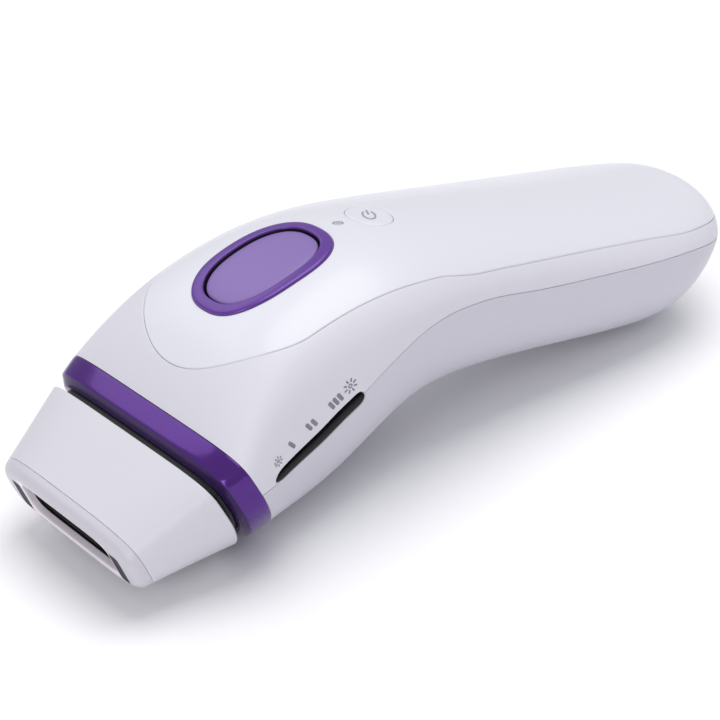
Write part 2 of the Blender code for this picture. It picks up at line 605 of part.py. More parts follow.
# ------------------------------------------------------------------ treatment button
bezel_out = oval(BEZEL_HALF[0], BEZEL_HALF[1], BEZEL_SQUARE, 40)
bezel_mid = oval(BEZEL_HALF[0] - 0.9, BEZEL_HALF[1] - 0.9, BEZEL_SQUARE, 40)
bezel_in = oval(BEZEL_HALF[0] - BEZEL_BAND, BEZEL_HALF[1] - BEZEL_BAND, BEZEL_SQUARE, 40)


def on_skin(fr, pts, lift):
    return [np.array(fr @ Vector((x, y, skin_height(fr, x, y) + lift))) for x, y in pts]


bezel_rows = [on_skin(TRIGGER, bezel_out, -3.2), on_skin(TRIGGER, bezel_out, 0.15), on_skin(TRIGGER, bezel_mid, 0.95), on_skin(TRIGGER, bezel_in, 0.55), on_skin(TRIGGER, bezel_in, -3.2)]
loft("trigger_bezel", bezel_rows, PURPLE_GLOSS, ring=True)

pad_rows = []
PAD_BOTTOM = -5.4
PAD_A, PAD_B = BEZEL_HALF[0] - BEZEL_BAND - GAP - 0.05, BEZEL_HALF[1] - BEZEL_BAND - GAP - 0.05
pad_rows.append([np.array(TRIGGER @ Vector((x, y, PAD_BOTTOM))) for x, y in oval(PAD_A, PAD_B, BEZEL_SQUARE, 40)])
for k, lift in ((1.0, 0.1), (0.94, 0.55), (0.75, 0.75), (0.45, 0.85)):
    pad_rows.append(on_skin(TRIGGER, oval(PAD_A * k, PAD_B * k, BEZEL_SQUARE, 40), lift))
TRIGGER_PIVOT = TRIGGER.translation.copy()
pad_top = TRIGGER @ Vector((0, 0, skin_height(TRIGGER, 0, 0) + 0.9))
pad = loft("trigger_pad", pad_rows, LILAC, pole=pad_top, origin=TRIGGER_PIVOT)
stem = cylinder("pad_stem", TRIGGER, (0, 0, -8.2), "z", 2.0, 9.6, segments=14, cutter=True)
boolean(pad, stem, "UNION")

CARRIER_Z = -12.0
plate("button_carrier", [rectangle(0, 0, 30, 20), circle(0, 0, 2.5, 16)], TRIGGER, CARRIER_Z, CARRIER_Z + 1.6, BLACK)
turned("trigger_switch", [(0.0, -14.6), (1.3, -14.6), (1.3, -15.5), (3.2, -15.5), (3.2, -18.9), (0.0, -18.9)], TRIGGER, DARK, 14)

spring = bpy.data.curves.new("trigger_spring", "CURVE")
spring.dimensions = "3D"
spring.bevel_depth = 0.28 * MM
spring.bevel_resolution = 1
spring.use_fill_caps = True
sp = spring.splines.new("POLY")
TURNS, PER_TURN = 3.0, 9
S0, S1 = CARRIER_Z + 1.6 + 0.6, PAD_BOTTOM - 0.6
count = int(TURNS * PER_TURN) + 1
sp.points.add(count - 1)
for i, p in enumerate(sp.points):
    a = 2 * math.pi * i / PER_TURN
    q = TRIGGER @ Vector((3.3 * math.cos(a), 3.3 * math.sin(a), S0 + (S1 - S0) * i / (count - 1)))
    p.co = (*(q * MM), 1)
spring_ob = bpy.data.objects.new("trigger_spring", spring)
spring.materials.append(STEEL)
parts.objects.link(spring_ob)

# ------------------------------------------------------------------ power button and status light
power_rows = []
for k, lift in ((1.0, -2.4), (1.0, -0.05), (0.93, 0.1), (0.5, 0.1)):
    power_rows.append(on_skin(POWER, oval(POWER_HALF[0] * k, POWER_HALF[1] * k, 2.0, 24), lift))
POWER_PIVOT = POWER.translation.copy()
power = loft("power_button", power_rows, WHITE_GLOSS, pole=POWER @ Vector((0, 0, skin_height(POWER, 0, 0) + 0.1)), origin=POWER_PIVOT)
power_stem = cylinder("power_stem", POWER, (0, 0, -4.0), "z", 1.4, 5.0, segments=12, cutter=True)
boolean(power, power_stem, "UNION")
turned("power_switch", [(0.0, -7.6), (1.0, -7.6), (1.0, -8.4), (2.6, -8.4), (2.6, -10.4), (0.0, -10.4)], POWER, DARK, 12)
cylinder("status_light_pipe", LED, (0, 0, -2.6), "z", LED_RADIUS, 5.2, LIGHT_PIPE, 12)

# ------------------------------------------------------------------ indicator window
slot_band("indicator_lens", 0.0, 0.5, 2.9, SMOKED)
mid_u, mid_a = 0.08, math.radians(-11.3)
slot_mid = skin([mid_u], [mid_a], 0.0)[0, 0]
slot_dir = Vector(skin([0.14], [math.radians(-11.2)], 0.0)[0, 0] - skin([0.02], [math.radians(-7)], 0.0)[0, 0])
slot_out = Vector((0, -1, 0))
LIGHT = frame(slot_mid, slot_dir, slot_dir.cross(slot_out).cross(slot_dir) * 1.0)
box("indicator_board", LIGHT, (0, 0, -7.4), (26, 5, 1.0), BOARD)
for i in range(5):
    box("indicator_led_%d" % (i + 1), LIGHT, (-11 + 5.5 * i, 0, -5.95), (1.6, 1.6, 1.2), LED_WHITE)

# ------------------------------------------------------------------ handle electronics
HANDLE = frame((23.0, 0, 27.0), (math.cos(math.radians(13)), 0, -math.sin(math.radians(13))), (math.sin(math.radians(13)), 0, math.cos(math.radians(13))))
BOARD_Z = 7.2
SCREWS = [(-16, -13), (-16, 13), (43.5, -13), (43.5, 13)]
plate("main_board", [rectangle(12, 0, 70, 34)] + [circle(x, y, 1.4, 10) for x, y in SCREWS], HANDLE, BOARD_Z, BOARD_Z + 1.6, BOARD)
chassis = plate("chassis", [rectangle(12, 0, 70, 38), rectangle(17, 0, 46, 24)] + [circle(x, y, 1.4, 10) for x, y in SCREWS], HANDLE, BOARD_Z - 3.2, BOARD_Z - 0.4, BLACK)
for i, (x, y) in enumerate(SCREWS):
    turned("board_screw_%d" % (i + 1), [(0.0, 3.1), (2.1, 3.1), (2.1, 1.9), (1.05, 1.9), (1.05, -3.0), (0.0, -3.0)], HANDLE @ Matrix.Translation((x, y, BOARD_Z)), STEEL, 12)

turned("flash_capacitor", [(0.0, 21.0), (8.2, 21.0), (9.0, 20.2), (9.0, -18.8), (8.4, -19.4), (9.0, -20.0), (8.2, -21.0), (0.0, -21.0)], HANDLE @ Matrix.Translation((18, 0, -3.0)) @ Matrix.Rotation(math.pi / 2, 4, "Y"), BLACK, 20)
box("trigger_transformer", HANDLE, (-12, 0, -6.5), (10, 16, 11), WIRE_YELLOW, bevel=0.8)

# ------------------------------------------------------------------ power inlet in the tail, and dust filter
inlet_rows = []
for w, h, z in ((8.2, 6.0, INLET_RIM), (8.2, 6.0, INLET_RIM - 11.6), (6.9, 4.7, INLET_RIM - 10.0)):
    inlet_rows.append([np.array(INLET @ Vector((x, y, z))) for x, y in oval(w, h, 4.0, 24)])
inlet_rim = [np.array(INLET @ Vector((x, y, INLET_RIM))) for x, y in oval(6.9, 4.7, 4.0, 24)]
loft("power_inlet", [inlet_rows[2], inlet_rim, inlet_rows[0], inlet_rows[1]], BLACK, ring=False)
for side, y in (("left", -2.6), ("right", 2.6)):
    cylinder("inlet_pin_" + side, INLET, (y, 0, INLET_RIM - 7.55), "z", 0.9, 4.2, BRASS, 12)

FILTER_FR = frame((-18.5, 0, 13.1), (math.cos(math.radians(18)), 0, math.sin(math.radians(18))), (-math.sin(math.radians(18)), 0, math.cos(math.radians(18))))
box("dust_filter", FILTER_FR, (0, 0, 0), (26, 17, 0.8), MESH_GREY)
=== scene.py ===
"""Handheld IPL hair remover: fine surfaces, materials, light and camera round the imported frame.
Lengths in the shape code are millimetres, as on the part's own drawing: X from the treatment face to the tail, +Z up."""
import json
import math

import bmesh
import bpy
import numpy as np
from mathutils import Matrix, Vector


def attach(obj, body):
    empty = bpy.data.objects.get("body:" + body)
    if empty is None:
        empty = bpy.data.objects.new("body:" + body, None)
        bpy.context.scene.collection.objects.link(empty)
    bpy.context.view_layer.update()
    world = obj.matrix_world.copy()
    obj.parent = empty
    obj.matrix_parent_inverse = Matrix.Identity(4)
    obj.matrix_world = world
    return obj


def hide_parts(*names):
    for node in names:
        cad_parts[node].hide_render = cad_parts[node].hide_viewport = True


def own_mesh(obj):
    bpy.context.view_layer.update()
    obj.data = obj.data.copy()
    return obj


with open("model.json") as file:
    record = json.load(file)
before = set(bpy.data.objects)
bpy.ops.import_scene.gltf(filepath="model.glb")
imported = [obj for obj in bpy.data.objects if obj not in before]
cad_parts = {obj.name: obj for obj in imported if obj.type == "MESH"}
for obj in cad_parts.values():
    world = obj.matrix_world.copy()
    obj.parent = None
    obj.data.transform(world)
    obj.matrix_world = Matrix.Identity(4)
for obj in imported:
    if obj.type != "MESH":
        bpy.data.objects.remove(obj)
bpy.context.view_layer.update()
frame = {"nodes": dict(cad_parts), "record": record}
NODES = frame["nodes"]
BODY_OF = {}
for body_name, members in frame["record"]["behaviour"]["bodies"].items():
    for member in members:
        BODY_OF[member] = body_name
MM = 0.001

# ------------------------------------------------------------------ driving dimensions, as on the part
TOP_X = [-64.6, -54.3, -35.5, -13.8, 9.3, 36.2, 63.2, 86.8, 93.6, 86.1]
TOP_Z = [32.4, 45.9, 53.2, 55.6, 50.2, 43.0, 35.6, 29.8, 29.4, 13.7]
BOTTOM_X = [-52.2, -37.3, -20.8, -5.1, 15.3, 37.1, 53.5, 67.7, 78.2, 86.1]
BOTTOM_Z = [1.2, -1.8, 5.8, 11.9, 10.8, 7.1, 2.1, -1.6, 0.3, 13.7]
HALF_WIDTH = [34.0, 29.5, 30.5, 29.2, 27.6, 27.7, 29.4, 27.4, 16.5, 0.0]
SQUARE_TOP = [5.0, 3.4, 2.4, 1.95, 2.0, 1.95, 1.95, 2.15, 2.0, 2.0]
SQUARE_LOW = [1.95, 2.2, 2.15, 1.95, 2.3, 2.6, 2.05, 1.95, 2.05, 2.3]
WAIST = 0.69
WALL = 2.4
GAP = 0.3
SEAM_X = [-77.0, -60.6, -54.5, -47.3, -41.2, -38.4, -30.0, -19.2, -12.0, -5.0, 4.5, 25.0, 55.0, 72.0, 82.0, 108.0]
SEAM_Z = [22.5, 22.1, 21.9, 22.9, 24.9, 26.4, 30.7, 35.7, 38.1, 39.0, 38.2, 33.2, 27.5, 24.4, 22.1, 16.0]
COVER_FRONT_X = -58.6
COVER_NOSE = 21.0
COVER_HALF_WIDTH = 24.9
COVER_FLARE_X = [-2.0, 3.0, 18.0, 28.0, 110.0]
COVER_FLARE_Y = [24.9, 25.7, 30.0, 34.0, 34.0]
COVER_EDGE_X = [-77.0, -32.0, -6.0, 3.0, 12.0, 18.8, 42.8, 58.6, 72.1, 77.6, 90.0, 110.0]
COVER_EDGE_Z = [25.5, 39.5, 44.5, 44.1, 42.3, 40.7, 35.1, 31.3, 27.9, 26.8, 24.3, 20.1]
COVER_THICKNESS = 1.3
RING_LENGTH = 6.6
RING_TAPER = 0.05
CAP_GAP = 1.5
FACE_CENTRE = (-88.7, 11.5)
FACE_TILT = 17.0
FACE_HALF_WIDTH = 25.7
FACE_HALF_HEIGHT = 7.8
FACE_SQUARE = 3.2
CAP_SEAM = 0.86
WINDOW_HALF_WIDTH = 17.2
WINDOW_HALF_HEIGHT = 4.7
SENSOR_Y = 19.6
SENSOR_Z = -0.8
RIM_ROUND = 2.0
SENSOR_SIZE = (2.9, 8.8)
TRIGGER_U = 0.168
BEZEL_HALF = (16.4, 12.2)
BEZEL_BAND = 2.7
BEZEL_SQUARE = 2.5
POWER_U = 0.355
POWER_HALF = (4.9, 6.2)
LED_U = 0.302
LED_RADIUS = 1.1
SLOT_U = [0.0167, 0.0442, 0.0753, 0.1089, 0.1461]
SLOT_ANGLE = [-6.3, -9.4, -11.3, -11.25, -11.1]
SLOT_HALF = 1.4
INLET_Z = 14.0
INLET_RIM = 83

# ------------------------------------------------------------------ the body's surface
TABLE_U = np.linspace(0, 1, 6001)


def spline(ctrl, u):
    """Clamped uniform cubic B-spline through the control values, u in 0..1."""
    c = np.asarray(ctrl, float)
    n, k = len(c), 3
    t = np.concatenate([[0.0] * k, np.linspace(0, 1, n - k + 1), [1.0] * k])
    u = np.clip(np.atleast_1d(np.asarray(u, float)), 0, 1 - 1e-9)
    b = [((u >= t[i]) & (u < t[i + 1])).astype(float) for i in range(n + k)]
    for p in range(1, k + 1):
        nxt = []
        for i in range(n + k - p):
            lo = 0.0 if t[i + p] == t[i] else (u - t[i]) / (t[i + p] - t[i]) * b[i]
            hi = 0.0 if t[i + p + 1] == t[i + 1] else (t[i + p + 1] - u) / (t[i + p + 1] - t[i + 1]) * b[i + 1]
            nxt.append(lo + hi)
        b = nxt
    return sum(b[i] * c[i] for i in range(n))


TABLES = [spline(c, TABLE_U) for c in (TOP_X, TOP_Z, BOTTOM_X, BOTTOM_Z, HALF_WIDTH, SQUARE_TOP, SQUARE_LOW)]


def stations(u):
    return [np.interp(u, TABLE_U, t) for t in TABLES]


def power_of(value, n):
    return np.sign(value) * np.abs(value) ** (2.0 / n)


def body_at(u, th):
    """Skin points for matching arrays u and th: th = 0 is the -Y side, pi/2 the top, pi the +Y side."""
    u, th = np.broadcast_arrays(np.asarray(u, float), np.asarray(th, float))
    tx, tz, bx, bz, w, nt, nl = stations(u)
    s, c = np.sin(th), np.cos(th)
    n = np.where(s >= 0, nt, nl)
    mx, mz = bx + (tx - bx) * WAIST, bz + (tz - bz) * WAIST
    h = power_of(s, n)
    x = mx + np.where(h >= 0, h * (tx - mx), h * (mx - bx))
    z = mz + np.where(h >= 0, h * (tz - mz), h * (mz - bz))
    return np.stack([x, -w * power_of(c, n), z], -1)


def normal_at(u, th):
    """Outward surface normals."""
    u, th = np.broadcast_arrays(np.asarray(u, float), np.asarray(th, float))
    uc = np.clip(u, 0.0025, 0.9965)
    du = body_at(uc + 0.0012, th) - body_at(uc - 0.0012, th)
    dv = body_at(uc, th + 0.012) - body_at(uc, th - 0.012)
    nrm = np.cross(dv, du)
    nrm /= np.linalg.norm(nrm, axis=-1)[..., None] + 1e-12
    tx, tz, bx, bz = stations(uc)[:4]
    core = np.stack([tx * WAIST + bx * (1 - WAIST), 0 * uc, tz * WAIST + bz * (1 - WAIST)], -1)
    out = np.einsum("...i,...i->...", nrm, body_at(uc, th) - core)
    return nrm * np.where(out < 0, -1.0, 1.0)[..., None]


def frame_of(origin, x_dir, z_dir):
    x = Vector(x_dir).normalized()
    z = Vector(z_dir).normalized()
    y = z.cross(x).normalized()
    z = x.cross(y)
    m = Matrix((x, y, z)).transposed().to_4x4()
    m.translation = Vector(origin)
    return m


T0 = Vector((TOP_X[0], 0, TOP_Z[0]))
B0 = Vector((BOTTOM_X[0], 0, BOTTOM_Z[0]))
E = (T0 - B0).normalized()
A = Vector((-E.z, 0, E.x))
COLLAR = (T0 + B0) / 2
tilt = math.radians(FACE_TILT)
FACE_UP = Vector((-math.sin(tilt), 0, math.cos(tilt)))
FACE_OUT = Vector((-math.cos(tilt), 0, -math.sin(tilt)))
CAP_START = RING_LENGTH + CAP_GAP


def ring_section(th, forward, inset):
    k = 1.0 - RING_TAPER * forward / RING_LENGTH
    half = (T0 - B0).length / 2
    w = HALF_WIDTH[0] * k - inset
    up, down = half * k - inset, half * k - inset
    waist = (2 * WAIST - 1) * half * k
    s, c = np.sin(th), np.cos(th)
    n = np.where(s >= 0, SQUARE_TOP[0], SQUARE_LOW[0])
    h = power_of(s, n)
    z = waist + np.where(h >= 0, h * (up - waist), h * (down + waist))
    y = -w * power_of(c, n)
    base = COLLAR + A * forward
    return np.stack([base.x + E.x * z, y, base.z + E.z * z], -1)


def face_section(th, w, h, n, out=0.0):
    y = -w * power_of(np.cos(th), n)
    z = h * power_of(np.sin(th), n)
    o = np.array([FACE_CENTRE[0], 0, FACE_CENTRE[1]]) + np.array(FACE_OUT) * out
    return o + np.stack([FACE_UP.x * z, y, FACE_UP.z * z], -1)


def cap_skin(t, th, inset=0.0):
    a = ring_section(th, CAP_START, inset)
    b = face_section(th, FACE_HALF_WIDTH - inset, FACE_HALF_HEIGHT - inset, FACE_SQUARE)
    return a * (1 - t) + b * t


def top_point(u, y):
    """Point of the upper skin at station u and offset y from the middle plane."""
    tx, tz, bx, bz, w, nt, _ = stations(u)
    h = np.clip(1 - np.abs(y / w) ** nt, 0, 1) ** (1 / nt)
    mx, mz = bx + (tx - bx) * WAIST, bz + (tz - bz) * WAIST
    return np.stack([mx + h * (tx - mx), y + 0 * u, mz + h * (tz - mz)], -1)


def top_normal(u):
    o = top_point(np.array([u]), np.array([0.0]))[0]
    t = top_point(np.array([u + 0.01]), np.array([0.0]))[0] - top_point(np.array([u - 0.01]), np.array([0.0]))[0]
    x = Vector(t).normalized()
    return frame_of(o, x, (-x.z, 0, x.x))


TRIGGER = top_normal(TRIGGER_U)
POWER = top_normal(POWER_U)
LED = top_normal(LED_U)
INLET = frame_of((0, 0, INLET_Z), (0, 1, 0), (1, 0, 0))


def on_top(fr, pts, lift):
    """Points of the skin above a local frame's plane, raised by lift along the frame's Z."""
    pts = np.asarray(pts, float)
    ax, az, o = np.array(fr.col[0][:3]), np.array(fr.col[2][:3]), np.array(fr.translation)
    lo = np.zeros(len(pts))
    hi = np.full(len(pts), 0.75)
    for _ in range(34):
        mid = (lo + hi) / 2
        d = (top_point(mid, pts[:, 1]) - o) @ ax - pts[:, 0]
        lo = np.where(d < 0, mid, lo)
        hi = np.where(d < 0, hi, mid)
    return top_point((lo + hi) / 2, pts[:, 1]) + az * np.reshape(lift, (-1, 1))


def oval(a, b, n, count):
    """Superellipse with points spread evenly along its length."""
    s = np.linspace(0, 1, 241)
    q = (1 - np.cos(math.pi * s)) * math.pi / 4
    ph = np.concatenate([q[:-1], q[:-1] + math.pi / 2, q[:-1] + math.pi, q + 1.5 * math.pi])
    xy = np.stack([a * power_of(np.cos(ph), n), b * power_of(np.sin(ph), n)], -1)
    d = np.concatenate([[0], np.cumsum(np.linalg.norm(np.diff(xy, axis=0), axis=1))])
    at = np.linspace(0, d[-1], count + 1)[:-1]
    return np.stack([np.interp(at, d, xy[:, 0]), np.interp(at, d, xy[:, 1])], -1)


def even_angles(section, quarter_counts):
    """Angles round a section, evenly spaced along its length within each quarter."""
    out = []
    s = np.linspace(0, 1, 301)
    q = (1 - np.cos(math.pi * s)) * math.pi / 4
    for k, count in enumerate(quarter_counts):
        th = q + k * math.pi / 2
        p = section(th)
        d = np.concatenate([[0], np.cumsum(np.linalg.norm(np.diff(p, axis=0), axis=1))])
        out += list(np.interp(np.linspace(0, d[-1], count + 1)[:-1], d, th))
    return np.array(out)


# ------------------------------------------------------------------ materials
def nodes_of(mat):
    return mat.node_tree.nodes, mat.node_tree.links


def plastic(name, colour, rough, coat=0.0, coat_rough=0.05, grain=0.0, grain_size=2500.0, mottling=0.02, rough_var=0.05, metallic=0.0,
            flakes=0.0, sheen=0.0, subsurface=0.0, waves=0.0, specular=0.5):
    """Moulded or lacquered plastic: colour variation, roughness variation, fine surface grain and long soft waves."""
    mat = bpy.data.materials.new(name)
    mat.use_nodes = True
    n, l = nodes_of(mat)
    b = n["Principled BSDF"]
    co = n.new("ShaderNodeTexCoord")
    big = n.new("ShaderNodeTexNoise")
    big.inputs["Scale"].default_value = 38.0
    big.inputs["Detail"].default_value = 3.0
    l.new(co.outputs["Object"], big.inputs["Vector"])
    fine = n.new("ShaderNodeTexNoise")
    fine.inputs["Scale"].default_value = grain_size
    fine.inputs["Detail"].default_value = 2.0
    l.new(co.outputs["Object"], fine.inputs["Vector"])
    ramp = n.new("ShaderNodeMix")
    ramp.data_type = "RGBA"
    ramp.inputs[6].default_value = (*[c * (1 - mottling) for c in colour], 1)
    ramp.inputs[7].default_value = (*[min(1.0, c * (1 + mottling)) for c in colour], 1)
    l.new(big.outputs["Fac"], ramp.inputs[0])
    last = ramp.outputs[2]
    if flakes:
        vor = n.new("ShaderNodeTexVoronoi")
        vor.inputs["Scale"].default_value = 5200.0
        l.new(co.outputs["Object"], vor.inputs["Vector"])
        mix = n.new("ShaderNodeMix")
        mix.data_type = "RGBA"
        mix.blend_type = "ADD"
        mix.inputs[0].default_value = flakes
        sep = n.new("ShaderNodeMath")
        sep.operation = "POWER"
        sep.inputs[1].default_value = 6.0
        l.new(vor.outputs["Color"], sep.inputs[0])
        l.new(last, mix.inputs[6])
        l.new(sep.outputs[0], mix.inputs[7])
        last = mix.outputs[2]
    l.new(last, b.inputs["Base Color"])
    r = n.new("ShaderNodeMapRange")
    r.inputs["To Min"].default_value = max(0.0, rough - rough_var)
    r.inputs["To Max"].default_value = rough + rough_var
    l.new(fine.outputs["Fac"], r.inputs["Value"])
    l.new(r.outputs["Result"], b.inputs["Roughness"])
    b.inputs["Metallic"].default_value = metallic
    b.inputs["Specular IOR Level"].default_value = specular
    b.inputs["Coat Weight"].default_value = coat
    b.inputs["Coat Roughness"].default_value = coat_rough
    b.inputs["Sheen Weight"].default_value = sheen
    b.inputs["Subsurface Weight"].default_value = subsurface
    b.inputs["Subsurface Radius"].default_value = (0.004, 0.004, 0.004)
    b.inputs["Subsurface Scale"].default_value = 0.2
    normal = None
    if grain:
        bump = n.new("ShaderNodeBump")
        bump.inputs["Strength"].default_value = grain
        bump.inputs["Distance"].default_value = 0.00004
        l.new(fine.outputs["Fac"], bump.inputs["Height"])
        normal = bump
    if waves:
        bump = n.new("ShaderNodeBump")
        bump.inputs["Strength"].default_value = waves
        bump.inputs["Distance"].default_value = 0.0004
        l.new(big.outputs["Fac"], bump.inputs["Height"])
        if normal:
            l.new(normal.outputs["Normal"], bump.inputs["Normal"])
        normal = bump
    if normal:
        l.new(normal.outputs["Normal"], b.inputs["Normal"])
    mat.diffuse_color = (*colour, 1)
    return mat


def metal(name, colour, rough, streak=(1, 1, 60), anis=0.0):
    mat = plastic(name, colour, rough, metallic=1.0, mottling=0.05, rough_var=0.08, grain=0.25, grain_size=1500.0)
    n, l = nodes_of(mat)
    co = n.new("ShaderNodeTexCoord")
    mp = n.new("ShaderNodeMapping")
    mp.inputs["Scale"].default_value = streak
    st = n.new("ShaderNodeTexNoise")
    st.inputs["Scale"].default_value = 240.0
    l.new(co.outputs["Object"], mp.inputs["Vector"])
    l.new(mp.outputs["Vector"], st.inputs["Vector"])
    b = n["Principled BSDF"]
    add = n.new("ShaderNodeMapRange")
    add.inputs["To Min"].default_value = max(0.02, rough - 0.1)
    add.inputs["To Max"].default_value = rough + 0.12
    l.new(st.outputs["Fac"], add.inputs["Value"])
    l.new(add.outputs["Result"], b.inputs["Roughness"])
    b.inputs["Anisotropic"].default_value = anis
    return mat


def glass(name, colour, rough, tint_density=0.0):
    mat = plastic(name, colour, rough, rough_var=0.02, mottling=0.03)
    b = mat.node_tree.nodes["Principled BSDF"]
    b.inputs["Transmission Weight"].default_value = 0.92
    b.inputs["IOR"].default_value = 1.46
    return mat


def mesh_weave(name):
    """Fine woven filter cloth, from two crossed wave textures."""
    mat = plastic(name, (0.09, 0.09, 0.1), 0.75)
    n, l = nodes_of(mat)
    co = n.new("ShaderNodeTexCoord")
    waves = []
    for axis in ("X", "Y"):
        w = n.new("ShaderNodeTexWave")
        w.bands_direction = axis
        w.inputs["Scale"].default_value = 700.0
        l.new(co.outputs["Object"], w.inputs["Vector"])
        waves.append(w)
    mx = n.new("ShaderNodeMath")
    mx.operation = "MULTIPLY"
    l.new(waves[0].outputs["Fac"], mx.inputs[0])
    l.new(waves[1].outputs["Fac"], mx.inputs[1])
    bump = n.new("ShaderNodeBump")
    bump.inputs["Distance"].default_value = 0.0002
    l.new(mx.outputs[0], bump.inputs["Height"])
    l.new(bump.outputs["Normal"], n["Principled BSDF"].inputs["Normal"])
    return mat


def ribbed(name):
    """Dark sensor bar with a fine ribbed and speckled surface."""
    mat = plastic(name, (0.03, 0.03, 0.036), 0.5, specular=0.2, mottling=0.6, grain=0.8, grain_size=1800.0, rough_var=0.12)
    n, l = nodes_of(mat)
    co = n.new("ShaderNodeTexCoord")
    w = n.new("ShaderNodeTexWave")
    w.bands_direction = "Z"
    w.inputs["Scale"].default_value = 420.0
    w.inputs["Distortion"].default_value = 1.2
    w.inputs["Detail"].default_value = 2.0
    l.new(co.outputs["Object"], w.inputs["Vector"])
    bump = n.new("ShaderNodeBump")
    bump.inputs["Strength"].default_value = 0.6
    bump.inputs["Distance"].default_value = 0.00015
    l.new(w.outputs["Fac"], bump.inputs["Height"])
    l.new(bump.outputs["Normal"], n["Principled BSDF"].inputs["Normal"])
    return mat


def board_green(name):
    """Circuit board: solder resist with lighter track pattern."""
    mat = plastic(name, (0.012, 0.13, 0.04), 0.35, coat=0.4)
    n, l = nodes_of(mat)
    co = n.new("ShaderNodeTexCoord")
    br = n.new("ShaderNodeTexBrick")
    br.inputs["Scale"].default_value = 260.0
    br.inputs["Color1"].default_value = (0.012, 0.13, 0.04, 1)
    br.inputs["Color2"].default_value = (0.016, 0.15, 0.05, 1)
    br.inputs["Mortar"].default_value = (0.05, 0.27, 0.1, 1)
    br.inputs["Mortar Size"].default_value = 0.03
    l.new(co.outputs["Object"], br.inputs["Vector"])
    l.new(br.outputs["Color"], n["Principled BSDF"].inputs["Base Color"])
    return mat


M_COVER = plastic("cover_gloss_white", (0.695, 0.695, 0.75), 0.36, coat=0.22, coat_rough=0.16, mottling=0.006, rough_var=0.03, waves=0.02, grain=0.03, grain_size=2000.0, specular=0.4)
M_SIDE = plastic("side_satin_white", (0.65, 0.64, 0.70), 0.44, coat=0.05, coat_rough=0.3, mottling=0.01, rough_var=0.04, grain=0.10, grain_size=3200.0, specular=0.4)
M_LOWER = plastic("lower_satin_white", (0.56, 0.55, 0.62), 0.38, coat=0.15, coat_rough=0.25, mottling=0.012, rough_var=0.04, grain=0.12, grain_size=3200.0)
M_CAP = plastic("cap_satin_white", (0.615, 0.605, 0.66), 0.4, coat=0.1, coat_rough=0.25, mottling=0.012, rough_var=0.04, grain=0.10, grain_size=3000.0, specular=0.4)
M_FACE = plastic("face_satin_white", (0.56, 0.54, 0.595), 0.38, coat=0.1, coat_rough=0.25, mottling=0.012, rough_var=0.04, grain=0.10, grain_size=3000.0)
M_RING = plastic("ring_pearl_purple", (0.08, 0.019, 0.205), 0.15, coat=0.14, coat_rough=0.04, metallic=0.55, flakes=0.02, mottling=0.10, rough_var=0.03, grain=0.04, specular=0.3)
# darker copy of the ring's pearl purple for the ring's front chamfer: painted shade
M_RING_PAINTED_SHADE = plastic("ring_pearl_painted_shade", (0.026, 0.006, 0.07), 0.2, coat=0.08, coat_rough=0.06, metallic=0.5, flakes=0.02, mottling=0.10, rough_var=0.03, grain=0.04, specular=0.25)
M_BEZEL = plastic("bezel_gloss_purple", (0.105, 0.03, 0.27), 0.3, coat=0.2, coat_rough=0.15, metallic=0.15, mottling=0.05, rough_var=0.03, grain=0.04, specular=0.4)
M_PAD = plastic("pad_matte_lilac", (0.215, 0.135, 0.39), 0.44, mottling=0.05, rough_var=0.06, grain=0.4, grain_size=2600.0, specular=0.5)
M_LENS = plastic("lens_smoked", (0.0025, 0.0025, 0.003), 0.22, mottling=0.2, rough_var=0.05, specular=0.12)
# lighter dark grey for the lower half of the indicator lens: painted light on the ledge, against the black upper half
M_LENS_PAINTED_LIGHT = plastic("lens_ledge_painted_light", (0.017, 0.017, 0.018), 0.5, mottling=0.1, rough_var=0.05, grain=0.2, specular=0.15)
M_SENSOR = ribbed("sensor_dark")
M_LIP = plastic("window_lip_white", (0.86, 0.79, 0.86), 0.38, coat=0.1, mottling=0.02, grain=0.08)
M_PRINT = plastic("print_grey", (0.20, 0.185, 0.235), 0.5, mottling=0.05, grain=0.1)
M_ICON = plastic("print_light_grey", (0.30, 0.29, 0.36), 0.45, mottling=0.04, grain=0.1)
M_PIPE = plastic("light_pipe_grey", (0.42, 0.42, 0.47), 0.2, coat=0.5, mottling=0.05, subsurface=0.2)
# black moulded plastic for the dark inner parts; also used as painted shade on the bezel's inner wall, the deep window
# wall, the window liner and the neck sleeve
M_BLACK_AND_PAINTED_SHADE = plastic("black_moulded_and_painted_shade", (0.012, 0.012, 0.014), 0.45, mottling=0.15, grain=0.35, grain_size=2200.0)
M_DARK = plastic("dark_grey_moulded", (0.045, 0.045, 0.05), 0.48, mottling=0.12, grain=0.35, grain_size=2200.0)
M_LAMP = glass("lamp_quartz", (0.95, 0.97, 0.98), 0.04)
M_FILTER = glass("filter_coated", (0.30, 0.10, 0.06), 0.06)
M_ALU = metal("aluminium_bright", (0.78, 0.78, 0.80), 0.22)
M_STEEL = metal("steel_plated", (0.56, 0.56, 0.58), 0.28)
M_BRASS = metal("brass_plated", (0.72, 0.5, 0.18), 0.25)
M_BOARD = board_green("board_resist")
M_TAPE = plastic("winding_tape", (0.62, 0.42, 0.06), 0.4, mottling=0.1, grain=0.2)
M_LED = plastic("led_clear", (0.85, 0.84, 0.72), 0.2, coat=0.5)
M_MESH = mesh_weave("filter_cloth")

# ------------------------------------------------------------------ mesh tools
coll = bpy.context.scene.collection


